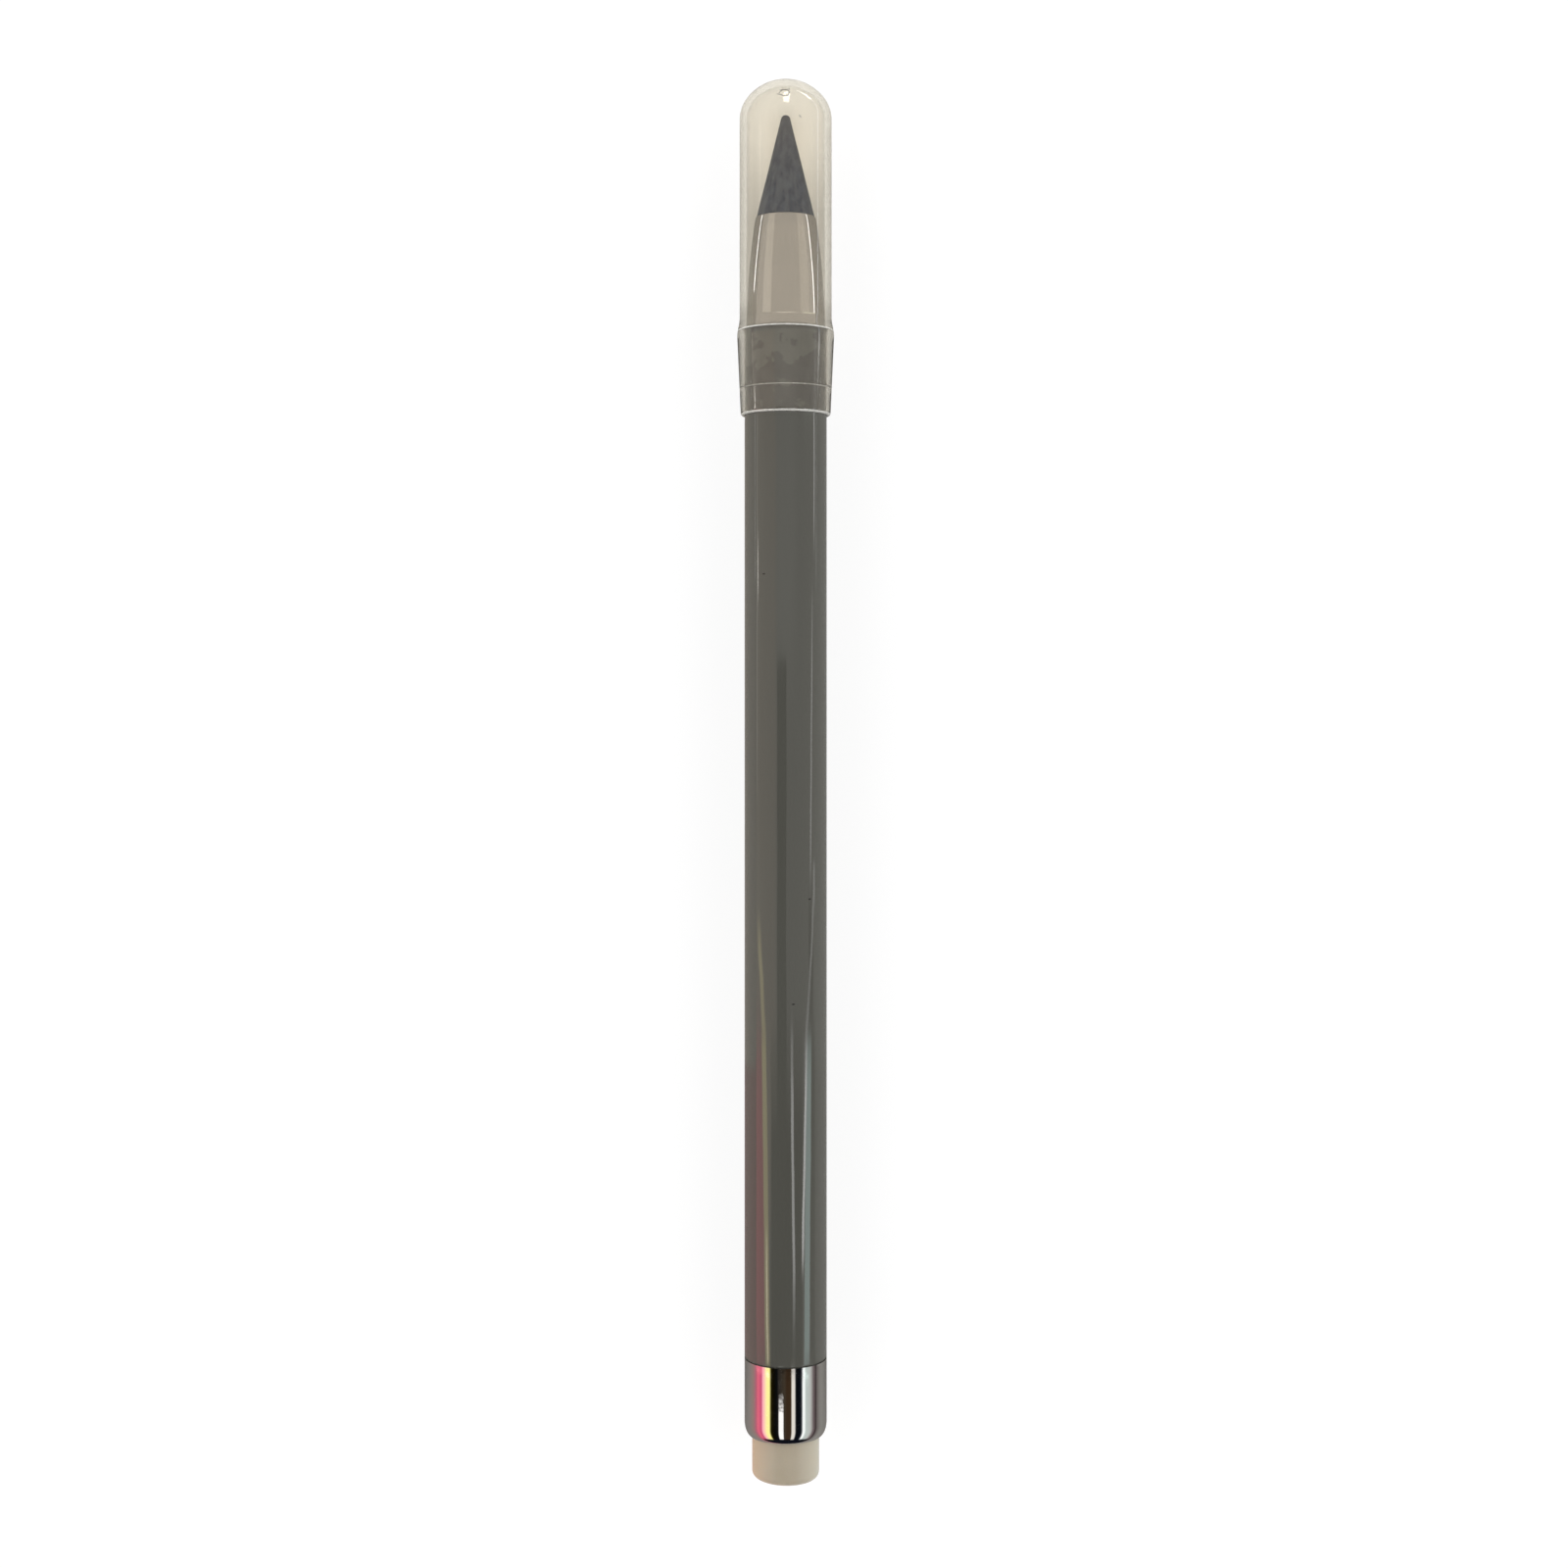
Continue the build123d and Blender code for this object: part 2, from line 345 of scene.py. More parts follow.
# Partly wear, partly painted reflection: near the front the band is painted paler still.
# The veil is noise that is lifted over a threshold little by little, which frays its edge.
gripped = {0: along, 1: VEIL_FROM * MM, 2: VEIL_WHOLE * MM, 3: -0.12, 4: 0.06}
gripped = add(tree, "MapRange", gripped)
fray = {"Vector": spot, "Scale": per_mm(2.4), "Detail": 5.0, "Roughness": 0.6}
fray = add(tree, "TexNoise", fray)
veil = add(tree, "Math", {0: gripped, 1: fray}, operation="ADD")
veil = add(tree, "MapRange", {0: veil, 1: 0.47, 2: 0.495})
veil = add(tree, "Math", {0: veil, 1: rubbed}, operation="MULTIPLY")
veil = add(tree, "Math", {0: veil, 1: 0.5}, operation="MULTIPLY")
grey = add(tree, "Mix", {0: veil, 6: grey, 7: linear("848680")}, data_type="RGBA")
print(f"the skirt rubs {RUBBED_TO - RUBBED_FROM:.1f} mm of the barrel")

# %% [markdown]
# Three short dark specks of dust lie on the barrel. Grains could be modelled, but at a
# quarter of a millimetre they would only be seen as dots, so each is a spot in the colour:
# everything within reach of one point of the surface, measured shorter along than across.

# %% Dust on the barrel
SPECKS = [(24.7, 2.62), (-14.3, -2.88), (-26.8, -0.91)]  # along the axis, and aside of it
SPECK_CORE = 0.16
SPECK_RIM = 0.26
SPECK_SQUEEZE = 2.6
for speck_along, speck_aside in SPECKS:
    height = axis_height + math.sqrt(barrel_radius**2 - speck_aside**2)
    speck = Vector((speck_along, speck_aside, height)) * MM
    offset = add(tree, "VectorMath", {0: spot, 1: speck}, operation="SUBTRACT")
    squeezed = {0: offset, 1: (SPECK_SQUEEZE, 1, 1)}
    squeezed = add(tree, "VectorMath", squeezed, operation="MULTIPLY")
    reach = add(tree, "VectorMath", {0: squeezed}, operation="LENGTH")
    dust = add(tree, "MapRange", {0: reach, 1: SPECK_RIM * MM, 2: SPECK_CORE * MM})
    grey = add(tree, "Mix", {0: dust, 6: grey, 7: linear("1b1a18")}, data_type="RGBA")
print("specks of dust:", len(SPECKS))

# %% [markdown]
# The tool's polish makes the ABS near mirror-smooth. Handling adds fine lengthwise hairlines,
# which with the rubbed collar dull the gloss a little. Plastic also shrinks as it cools and
# leaves its skin slightly wavy, so that straight reflections wander along the barrel. A bump
# gives all of that at no cost in faces, since none of it changes the outline.

# %% Barrel gloss and relief
drawn_out = add(tree, "Mapping", {"Vector": spot, "Scale": (1 / 40, 1, 1)})
hairlines = add(tree, "TexNoise", {"Vector": drawn_out, "Scale": per_mm(0.5), "Detail": 1.0})
gloss = add(tree, "MapRange", {0: hairlines, 1: 0.35, 2: 0.75, 3: 0.022, 4: 0.05})
gloss = add(tree, "Math", {0: haze_and_painted_reflection, 1: 0.18, 2: gloss}, operation="MULTIPLY_ADD")
# Slow waves of shrinkage, a few hundredths of a millimetre deep.
drawn_out = add(tree, "Mapping", {"Vector": spot, "Scale": (1 / 2.5, 1, 1)})
waves = add(tree, "TexNoise", {"Vector": drawn_out, "Scale": per_mm(5.5), "Detail": 1.0})
waves = add(tree, "Bump", {"Height": waves, "Distance": 0.06 * MM})
relief = add(tree, "Bump", {"Height": hairlines, "Distance": 0.0006 * MM, "Normal": waves})
fill(tree, shader, {"Base Color": grey, "Roughness": gloss, "IOR": 1.52, "Normal": relief})
print("finish:", barrel_abs.name)

# %% [markdown]
# ## Plating: bright chromium on plastic
# The ferrule and the taper are plastic, plated with copper, nickel and a last thin layer of
# chromium. That layer is a cool, nearly perfect mirror, a little darker than silver. A metal
# with no roughness at all would look drawn, so this one has the two faults that real plating
# has. It levels most of the moulding's texture but not all, which leaves a faint orange
# peel, and fingers leave smudges that only dull the mirror slightly.

# %% Plating finish
bright_chromium, tree, shader, spot = new_finish("bright_chromium_plate")
# The metal itself: grey-white with a breath of warmth, thinner in places.
thickness = add(tree, "TexNoise", {"Vector": spot, "Scale": per_mm(3)})
metal = {0: thickness, 6: linear("dad8d5"), 7: linear("e1dedb")}
metal = add(tree, "Mix", metal, data_type="RGBA")
# Smudges a few millimetres across: the eye sees them as a soft veil over sharp reflections.
smudges = add(tree, "TexNoise", {"Vector": spot, "Scale": per_mm(2.2), "Detail": 4.0})
smudges = add(tree, "MapRange", {0: smudges, 1: 0.45, 2: 0.7, 3: 0.015, 4: 0.07})
# Orange peel: real cells are near 0.8 mm and only a micrometre or so deep.
peel = add(tree, "TexNoise", {"Vector": spot, "Scale": per_mm(0.8), "Detail": 1.0})
peel = add(tree, "Bump", {"Height": peel, "Distance": 0.0014 * MM})
drawn_out = add(tree, "Mapping", {"Vector": spot, "Scale": (1 / 2, 1, 1)})
waves = add(tree, "TexNoise", {"Vector": drawn_out, "Scale": per_mm(3.5), "Detail": 0.0})
waves = add(tree, "Bump", {"Height": waves, "Distance": 0.012 * MM, "Normal": peel})
fill(tree, shader, {"Base Color": metal, "Metallic": 1.0, "Roughness": smudges, "Normal": waves})
print("finish:", bright_chromium.name)

# %% [markdown]
# ## Eraser: soft vinyl
# The eraser is plasticised vinyl filled with chalk, extruded as a rod and cut. Its cream is
# mottled, and painted light lies along its sides: one side is painted paler and cooler and the
# other warmer, where light from the sides falls. Use leaves graphite ground into its end.

# %% Eraser colour
GRIME_LENGTH = 1.1
eraser_vinyl, tree, shader, spot = new_finish("soft_chalk_vinyl")
spot_parts = add(tree, "SeparateXYZ", {0: spot}).outputs
# Cream, mottled by uneven filler.
mottle = add(tree, "TexNoise", {"Vector": spot, "Scale": per_mm(2.8), "Detail": 4.0})
cream = add(tree, "Mix", {0: mottle, 6: linear("ada18c"), 7: linear("b8ad99")}, data_type="RGBA")
# Painted side light: towards -Y the cream is painted paler and cooler, towards +Y warmer.
edge = eraser_radius * MM
for side_of, painted_side_light in [(-1, "beb5a1"), (1, "b8a88f")]:
    share = {0: spot_parts["Y"], 1: side_of * 0.3 * edge, 2: side_of * edge}
    share = add(tree, "MapRange", share)
    cream = add(tree, "Mix", {0: share, 6: cream, 7: linear(painted_side_light)}, data_type="RGBA")
# Ground-in graphite on the used end: it reads as a greyed, dirty rim.
used_end = {0: spot_parts["X"], 1: (eraser_rear + GRIME_LENGTH) * MM, 2: (eraser_rear + 0.1) * MM}
used_end = add(tree, "MapRange", used_end)
grime = {"Vector": spot, "Scale": per_mm(0.9), "Detail": 5.0, "Roughness": 0.7}
grime = add(tree, "MapRange", {0: add(tree, "TexNoise", grime), 1: 0.42, 2: 0.7})
grime = add(tree, "Math", {0: grime, 1: used_end}, operation="MULTIPLY")
grime = add(tree, "Math", {0: grime, 1: 0.5}, operation="MULTIPLY")
cream = add(tree, "Mix", {0: grime, 6: cream, 7: linear("857a6c")}, data_type="RGBA")
print(f"grime on the last {GRIME_LENGTH} mm")

# %% [markdown]
# Light sinks a little way into vinyl, so its edges look soft, and chalk dust on its skin
# lightens the sides, where the eye meets it at a slant. The cut leaves fine pores.

# %% Eraser softness and relief
rough = add(tree, "MapRange", {0: mottle, 1: 0.3, 2: 0.7, 3: 0.42, 4: 0.6})
# Pores: real ones are near 0.05 mm, drawn coarser here so that they can be seen at all.
pores = add(tree, "TexNoise", {"Vector": spot, "Scale": per_mm(0.3), "Detail": 3.0})
pores = add(tree, "Bump", {"Height": pores, "Distance": 0.012 * MM})
relief = add(tree, "Bump", {"Height": mottle, "Distance": 0.05 * MM, "Normal": pores})
fill(tree, shader, {"Base Color": cream, "Roughness": rough, "Normal": relief})
soaked = {"Subsurface Weight": 0.25, "Subsurface Scale": 0.9 * MM}
soaked["Subsurface Radius"] = (1.0, 0.75, 0.5)
fill(tree, shader, soaked)
dusty = {"Sheen Weight": 0.5, "Sheen Roughness": 0.4, "Sheen Tint": linear("f4f2ee")}
fill(tree, shader, dusty)
print("finish:", eraser_vinyl.name)

# %% [markdown]
# ## Nib: pressed graphite and metal
# The nib is graphite powder in a soft metal alloy, pressed and then turned to a cone. It is
# dark and dull like lead, with a weak metallic sheen. A plain dark grey would look like
# plastic: what tells the eye that it is lead are faint streaks from base to tip, fine rings
# from the tool, and a few pale nicks from paper. Its tip is painted paler: a painted reflection.

# %% Nib finish
PAINTED_TIP_LENGTH = 9  # length from the tip
nib_composite, tree, shader, spot = new_finish("graphite_metal_composite")
grain = {"Vector": spot, "Scale": per_mm(0.7), "Detail": 5.0, "Roughness": 0.7}
grain = add(tree, "TexNoise", grain)
share = add(tree, "MapRange", {0: grain, 1: 0.35, 2: 0.65})
lead = add(tree, "Mix", {0: share, 6: linear("3c4351"), 7: linear("59606f")}, data_type="RGBA")
drawn_out = add(tree, "Mapping", {"Vector": spot, "Scale": (1 / 12, 1, 1)})
streaks = add(tree, "TexNoise", {"Vector": drawn_out, "Scale": per_mm(0.7)})
share = add(tree, "MapRange", {0: streaks, 1: 0.45, 2: 0.65, 3: 0.0, 4: 0.6})
lead = add(tree, "Mix", {0: share, 6: lead, 7: linear("6e727b")}, data_type="RGBA")
# Painted reflection: towards the tip the lead is painted a little paler and browner.
along = add(tree, "SeparateXYZ", {0: spot}).outputs["X"]
share = {0: along, 1: (nib_tip - PAINTED_TIP_LENGTH) * MM, 2: (nib_tip - 1) * MM, 3: 0.0, 4: 0.35}
share = add(tree, "MapRange", share)
lead = add(tree, "Mix", {0: share, 6: lead, 7: linear("77736f")}, data_type="RGBA")
drawn_out = add(tree, "Mapping", {"Vector": spot, "Scale": (1 / 4, 1, 1)})
nicks = {"Vector": drawn_out, "Scale": per_mm(0.6), "Detail": 4.0, "Roughness": 0.75}
nicks = add(tree, "MapRange", {0: add(tree, "TexNoise", nicks), 1: 0.66, 2: 0.7})
lead = add(tree, "Mix", {0: nicks, 6: lead, 7: linear("8a8d93")}, data_type="RGBA")
sheen = add(tree, "MapRange", {0: streaks, 1: 0.3, 2: 0.7, 3: 0.5, 4: 0.36})
# Tool rings: a real turning feed is near 0.1 mm, drawn at 0.3 mm so that it can be seen.
rings = {"Vector": spot, "Scale": per_mm(0.3) / math.tau, "Distortion": 1.5, "Detail": 2.0}
rings = add(tree, "TexWave", rings, bands_direction="X").outputs["Fac"]
turned = add(tree, "Bump", {"Height": rings, "Distance": 0.003 * MM})
relief = add(tree, "Bump", {"Height": grain, "Distance": 0.006 * MM, "Normal": turned})
fill(tree, shader, {"Base Color": lead, "Metallic": 0.6, "Roughness": sheen, "Normal": relief})
print("finish:", nib_composite.name)

# %% [markdown]
# ## Carrier: plain black moulding
# Nobody sees the carrier until the taper is unscrewed, so it is left as it came out of the
# tool: black polypropylene with a faint satin, and the waxy, slightly greyed look that this
# plastic takes. One cloudy noise drives both its colour and its gloss, because it is the same
# bloom that changes them.

# %% Carrier finish
carrier_black, tree, shader, spot = new_finish("black_polypropylene")
bloom = add(tree, "TexNoise", {"Vector": spot, "Scale": per_mm(1.5), "Detail": 4.0})
black = add(tree, "Mix", {0: bloom, 6: linear("1e1e1f"), 7: linear("2d2d2e")}, data_type="RGBA")
waxy = add(tree, "MapRange", {0: bloom, 1: 0.3, 2: 0.7, 3: 0.38, 4: 0.55})
# Spark-eroded tool texture, really near 0.03 mm and drawn coarser.
satin = add(tree, "TexNoise", {"Vector": spot, "Scale": per_mm(0.15)})
satin = add(tree, "Bump", {"Height": satin, "Distance": 0.003 * MM})
fill(tree, shader, {"Base Color": black, "Roughness": waxy, "Normal": satin})
print("finish:", carrier_black.name)

# %% [markdown]
# ## Cap: clear polystyrene
# The cap is crystal polystyrene: hard, brittle, and clear with a high index of refraction,
# which is why its edges and steps draw such crisp light lines. It has yellowed slightly.
# Its walls are never optically true, so what is behind them swims a little, and sliding in
# and out of pockets leaves hairlines, mostly lengthwise, that only break the gloss.

# %% Clear finish
clear_styrene, tree, shader, spot = new_finish("clear_polystyrene")
drawn_out = add(tree, "Mapping", {"Vector": spot, "Scale": (1 / 25, 1, 1)})
hairlines = add(tree, "TexNoise", {"Vector": drawn_out, "Scale": per_mm(0.45)})
gloss = add(tree, "MapRange", {0: hairlines, 1: 0.55, 2: 0.8, 3: 0.004, 4: 0.05})
drawn_out = add(tree, "Mapping", {"Vector": spot, "Scale": (1 / 1.6, 1, 1)})
flow = add(tree, "TexNoise", {"Vector": drawn_out, "Scale": per_mm(3.2), "Detail": 1.0})
flow = add(tree, "Bump", {"Height": flow, "Distance": 0.008 * MM})
relief = add(tree, "Bump", {"Height": hairlines, "Distance": 0.0008 * MM, "Normal": flow})
fill(tree, shader, {"Transmission Weight": 1.0, "IOR": 1.59})
fill(tree, shader, {"Base Color": linear("f7f3ea"), "Roughness": gloss})
print("finish:", clear_styrene.name)

# %% [markdown]
# Two marks of moulding sit near the dome: a curl of cold plastic by the gate, and a bubble.
# The curl is a ring and the bubble a ring of no size, so one loop draws both as relief, by
# how far a point is from the ring. The distance is stirred with noise, or they would look
# stamped.
#
# Shadow rays pass straight through the cap, because a renderer is slow to find light that
# has been bent by two curved walls.

# %% Marks of moulding, and the way for light
MARKS = [((82.2, 0.2, 10.9), 0.6, 0.11, 0.09), ((79.2, -1.5, 11.2), 0.0, 0.25, 0.22)]
STIR = 1.1
uneven = add(tree, "TexNoise", {"Vector": spot, "Scale": per_mm(0.7)}).outputs["Color"]
uneven = {0: uneven, 1: (STIR * MM,) * 3, 2: spot}
uneven = add(tree, "VectorMath", uneven, operation="MULTIPLY_ADD")
for mark, ring, width, depth in MARKS:
    stirred = Vector(mark) * MM + Vector((STIR / 2,) * 3) * MM
    offset = add(tree, "VectorMath", {0: uneven, 1: stirred}, operation="DISTANCE")
    offset = add(tree, "Math", {0: offset, 1: ring * MM}, operation="SUBTRACT")
    offset = add(tree, "Math", {0: offset}, operation="ABSOLUTE")
    raised = add(tree, "MapRange", {0: offset, 1: width * MM, 2: 0.0})
    relief = add(tree, "Bump", {"Height": raised, "Distance": depth * MM, "Normal": relief})
fill(tree, shader, {"Normal": relief})
lamp_pass = add(tree, "BsdfTransparent", {"Color": linear("f4f1ec")})
is_shadow = add(tree, "LightPath").outputs["Is Shadow Ray"]
clear_mix = add(tree, "MixShader", {0: is_shadow, 1: shader, 2: lamp_pass})
fill(tree, tree.nodes["Material Output"], {"Surface": clear_mix})
print("marks:", len(MARKS))

# %% [markdown]
# At its lip and on its inner steps the cap draws bright light lines. Those rings get a second
# finish that paints them: a painted highlight, near white, with less light passing through and
# more of it scattered.

# %% Painted light lines
painted_line_styrene, tree, shader, spot = new_finish("polystyrene_painted_light_lines")
# Painted highlight: a near-white colour for the light lines of the lip and the steps.
line_mottle = add(tree, "TexNoise", {"Vector": spot, "Scale": per_mm(0.8), "Detail": 4.0})
white = add(tree, "Mix", {0: line_mottle, 6: linear("e4e2da"), 7: linear("f6f5f0")}, data_type="RGBA")
rough = add(tree, "MapRange", {0: line_mottle, 1: 0.3, 2: 0.7, 3: 0.35, 4: 0.15})
fill(tree, shader, {"Base Color": white, "Roughness": rough})
fill(tree, shader, {"Transmission Weight": 0.3, "IOR": 1.59})
print("finish:", painted_line_styrene.name)

# %% [markdown]
# ## Turn the barrel
# The barrel is a tube with a stepped bore: wide at the rear for the ferrule's spigot, narrow
# at the front for the screw. Its very front is a hair thinner, so that the cap starts easily.
# The bore could be left out, since the cap and the ferrule hide it, but the nib unit comes
# out of it, and then it shows.

# %% Barrel
edge_break = 0.1
rear_bore = 3.95
boss_bore = 3.05
boss_length = 11.0
straight_bore = 9.0  # the rest of the bore narrows towards the boss
bore_draft = 0.15
seat_taper = 0.03
seat_margin = 0.3
lead_in = 0.4
boss_rear = barrel_front - boss_length
boss_step = rear_bore - bore_draft - boss_bore
seat_radius = barrel_radius - seat_taper

section = Outline(barrel_rear, rear_bore + edge_break)
section.to(barrel_rear, barrel_radius - edge_break).to(barrel_rear + edge_break, barrel_radius)
section.to(lip - seat_margin, barrel_radius).to(barrel_front - edge_break, seat_radius)
section.to(barrel_front, seat_radius - edge_break).to(barrel_front, boss_bore + lead_in)
section.to(barrel_front - lead_in, boss_bore).to(boss_rear, boss_bore)
section.to(boss_rear - boss_step, rear_bore - bore_draft)
section.to(barrel_rear + straight_bore, rear_bore).to(barrel_rear + edge_break, rear_bore)
section.to(barrel_rear, rear_bore + edge_break)
bm = soften(turn(section), FINE)
place("barrel_tube", bm, barrel_abs, "barrel", "barrel_plastic", "barrel")

# %% [markdown]
# ## Turn the eraser
# The eraser is a plain rod whose end is rounded off by the first few rubs. Nobody rubs quite
# square, so the end is worn back a little further on one side. Sculpting would be overdone
# for that: each point near the end is moved back by how far it is to that side.

# %% Eraser
rub_round = 0.9
rub_slope = 0.07
push_bevel = 0.3

section = Outline(eraser_rear, 0).to(eraser_rear, eraser_radius - rub_round)
section.arc(eraser_rear + rub_round, eraser_radius - rub_round, 90)
section.to(eraser_front - push_bevel, eraser_radius)
section.to(eraser_front, eraser_radius - push_bevel).to(eraser_front, 0)
bm = turn(section)
for vert in bm.verts:
    near_end = max(0.0, 1 - (vert.co.x - eraser_rear) / (2 * rub_round))
    vert.co.x += near_end * rub_slope * (1 + vert.co.y / eraser_radius)
place("eraser_rod", bm, eraser_vinyl, "barrel", "eraser_vinyl", "eraser")

# %% [markdown]
# ## Turn the ferrule
# The ferrule is a cup for the eraser with a rolled mouth, a closed web behind the cup, and a
# spigot that is glued into the barrel. The mouth is drawn as a quarter circle and flattened,
# which makes it a quarter ellipse. The glue grooves repeat, so a loop cuts them.

# %% Ferrule
cup_radius = 4.175
mouth_land = 0.05
mouth_length = 1.7
spigot_radius = 3.92
spigot_wall = 1.0
spigot_chamfer = 0.5
web = 1.2
groove_depth = 0.2
groove_width = 0.8
groove_count = 2
joint_gap = 0.08
joint_depth = 0.2
mouth_depth = ferrule_radius - cup_radius - mouth_land
groove_pitch = (spigot_front - barrel_rear) / (groove_count + 1)
pocket_radius = spigot_radius - spigot_wall

section = Outline(ferrule_rear, cup_radius).to(ferrule_rear, cup_radius + mouth_land)
section.arc(
    ferrule_rear + mouth_length,
    cup_radius + mouth_land,
    90,
    steps=16,
    flatten=mouth_depth / mouth_length,
)
section.to(barrel_rear - joint_gap, ferrule_radius)
section.to(barrel_rear - joint_gap, ferrule_radius - joint_depth)
section.to(barrel_rear, ferrule_radius - joint_depth).to(barrel_rear, spigot_radius)
for number in range(1, groove_count + 1):
    low = barrel_rear + groove_pitch * number - groove_width / 2
    high = low + groove_width
    section.to(low, spigot_radius).to(low, spigot_radius - groove_depth)
    section.to(high, spigot_radius - groove_depth).to(high, spigot_radius)
section.to(spigot_front - spigot_chamfer, spigot_radius)
section.to(spigot_front, spigot_radius - spigot_chamfer).to(spigot_front, pocket_radius)
section.to(eraser_front + web, pocket_radius).to(eraser_front + web, 0)
section.to(eraser_front, 0).to(eraser_front, cup_radius).to(ferrule_rear, cup_radius)
bm = turn(section)
print(f"glue grooves every {groove_pitch:.1f} mm")

# %% [markdown]
# The plating stops just short of the barrel, and the bare plastic in that narrow gap draws a
# dark line. The gap's faces could be a piece of their own, but they are the same moulding,
# so they only get another finish, by where their middles lie.

# %% Bare joint
for face in bm.faces:
    middle = face.calc_center_median()
    in_gap = -joint_gap - WELD < middle.x - barrel_rear < -WELD
    if in_gap and middle.yz.length > spigot_radius + joint_depth:
        face.material_index = 1
ferrule_piece = place("ferrule_band", bm, bright_chromium, "barrel", "bright_plating", "ferrule")
ferrule_piece.data.materials.append(barrel_abs)

# %% [markdown]
# ## Turn the taper
# The taper leaves the barrel parallel to the axis and closes on the nib in one long arc. A
# cone would be simpler, but the arc is what makes its highlights curve in towards the nib.

# %% Taper
rim_radius = 3.685
rim_break = 0.15
carrier_radius = 2.75
press_clearance = 0.03
taper_bore = carrier_radius + press_clearance
recess_radius = flange_radius + press_clearance
recess_depth = 1.2
arc_length = sleeve_rim - rim_break - sleeve_base
arc_drop = sleeve_radius - rim_radius
arc_radius = (arc_length**2 + arc_drop**2) / (2 * arc_drop)

section = Outline(sleeve_base, recess_radius).to(sleeve_base, sleeve_radius)
section.arc(
    sleeve_base,
    sleeve_radius - arc_radius,
    math.degrees(math.asin(arc_length / arc_radius)),
    steps=20,
)
section.to(sleeve_rim, rim_radius - rim_break).to(sleeve_rim, taper_bore)
section.to(sleeve_base + recess_depth, taper_bore).to(sleeve_base + recess_depth, recess_radius)
section.to(sleeve_base, recess_radius)
bm = soften(turn(section), BROAD)
place("taper_shell", bm, bright_chromium, "nib_unit", "bright_plating", "taper_sleeve")

# %% [markdown]
# ## Turn the nib
# The nib is a cone with a blunt round tip, on a stub that the carrier grips. Two easy ways
# leave an edge where cone and round meet. Here the cone's side is the one line from its base
# that just touches the round, so that they run into each other.

# %% Nib
tip_radius = 0.57
nib_break = 0.08
stub_radius = 2.0
stub_chamfer = 0.3
nib_base = sleeve_rim
side_start = nib_base + nib_break
tip_centre = nib_tip - tip_radius
side_reach = math.hypot(nib_radius, tip_centre - side_start)
side_slope = math.atan2(tip_centre - side_start, nib_radius)
touch_angle = math.acos(tip_radius / side_reach) - side_slope

section = Outline(stub_rear, 0).to(stub_rear, stub_radius - stub_chamfer)
section.to(stub_rear + stub_chamfer, stub_radius).to(nib_base, stub_radius)
section.to(nib_base, nib_radius - nib_break).to(side_start, nib_radius)
section.to(
    tip_centre + tip_radius * math.sin(touch_angle),
    tip_radius * math.cos(touch_angle),
)
section.arc(tip_centre, 0, 90 - math.degrees(touch_angle), steps=10)
bm = soften(turn(section), FINE)
place("nib_cone", bm, nib_composite, "nib_unit", "nib_composite", "nib")

# %% [markdown]
# ## Turn the carrier
# The carrier is a socket for the nib's stub, a flange that the taper presses on the barrel,
# and a screw, hollow from behind so that its wall cools evenly. The body is turned as the
# other pieces are.

# %% Carrier
thread_core = 2.72
end_chamfer = 0.3
flange_gap = 0.05
flange_thickness = 1.15
socket_radius = 2.03
socket_depth = 6.3  # from the taper's rim
socket_web = 1
pocket = 1.6
flange_rear = sleeve_base + flange_gap
flange_front = flange_rear + flange_thickness
socket_floor = sleeve_rim - socket_depth

section = Outline(screw_rear, pocket).to(screw_rear, thread_core - end_chamfer)
section.to(screw_rear + end_chamfer, thread_core).to(flange_rear, thread_core)
section.to(flange_rear, flange_radius).to(flange_front, flange_radius)
section.to(flange_front, carrier_radius).to(socket_front, carrier_radius)
section.to(socket_front, socket_radius).to(socket_floor, socket_radius).to(socket_floor, 0)
section.to(socket_floor - socket_web, 0).to(socket_floor - socket_web, pocket)
section.to(screw_rear, pocket)
bm = soften(turn(section), BROAD)
print("carrier body:", len(bm.faces), "faces")

# %% [markdown]
# A thread isn't round about the axis, so rings stacked along it would only look like one. It
# is a second sweep: a small four-sided ridge is spun many times round while every step also
# moves it along by its share of the pitch. Its foot is buried in the core, and both of its
# ends are closed.

# %% Carrier thread
thread_crest = 3.0
thread_pitch = 1.0
thread_land = 0.12
thread_foot = 0.42
foot_sink = 0.05
run_in = 0.7
run_out = 0.6
STEPS_PER_TURN = 60
thread_start = screw_rear + run_in
thread_turns = int((flange_rear - run_out - thread_start) / thread_pitch)

ridge = [(-thread_foot, thread_core - foot_sink), (-thread_land, thread_crest)]
ridge += [(thread_land, thread_crest), (thread_foot, thread_core - foot_sink)]
start = [bm.verts.new((thread_start + along, 0, radius)) for along, radius in ridge]
loop = [bm.edges.new((start[i], start[(i + 1) % 4])) for i in range(4)]
swept = bmesh.ops.spin(
    bm,
    geom=start + loop,
    cent=(0, 0, 0),
    axis=(1, 0, 0),
    dvec=(thread_pitch / STEPS_PER_TURN, 0, 0),
    angle=math.tau * thread_turns,
    steps=STEPS_PER_TURN * thread_turns,
    use_duplicate=False,
)
last = [part for part in swept["geom_last"] if isinstance(part, bmesh.types.BMEdge)]
bmesh.ops.contextual_create(bm, geom=loop)
bmesh.ops.contextual_create(bm, geom=last)
bmesh.ops.recalc_face_normals(bm, faces=bm.faces)
print("thread:", thread_turns, "turns")
place("carrier_screw", bm, carrier_black, "nib_unit", "carrier_plastic", "nib_carrier")

# %% [markdown]
# ## Turn the cap
# The cap is one clear moulding, and all of it shows, inside and out: the skirt that grips
# the barrel, the S-shaped shoulder, the tube and the dome. A dome could be half a ball, but
# this one is fuller: two tangent arcs, a tight one beside the tube and a flatter crown.


# %% Dome outline
DOME_SHOULDER = 0.85  # share of the dome's height that the tight arc would reach


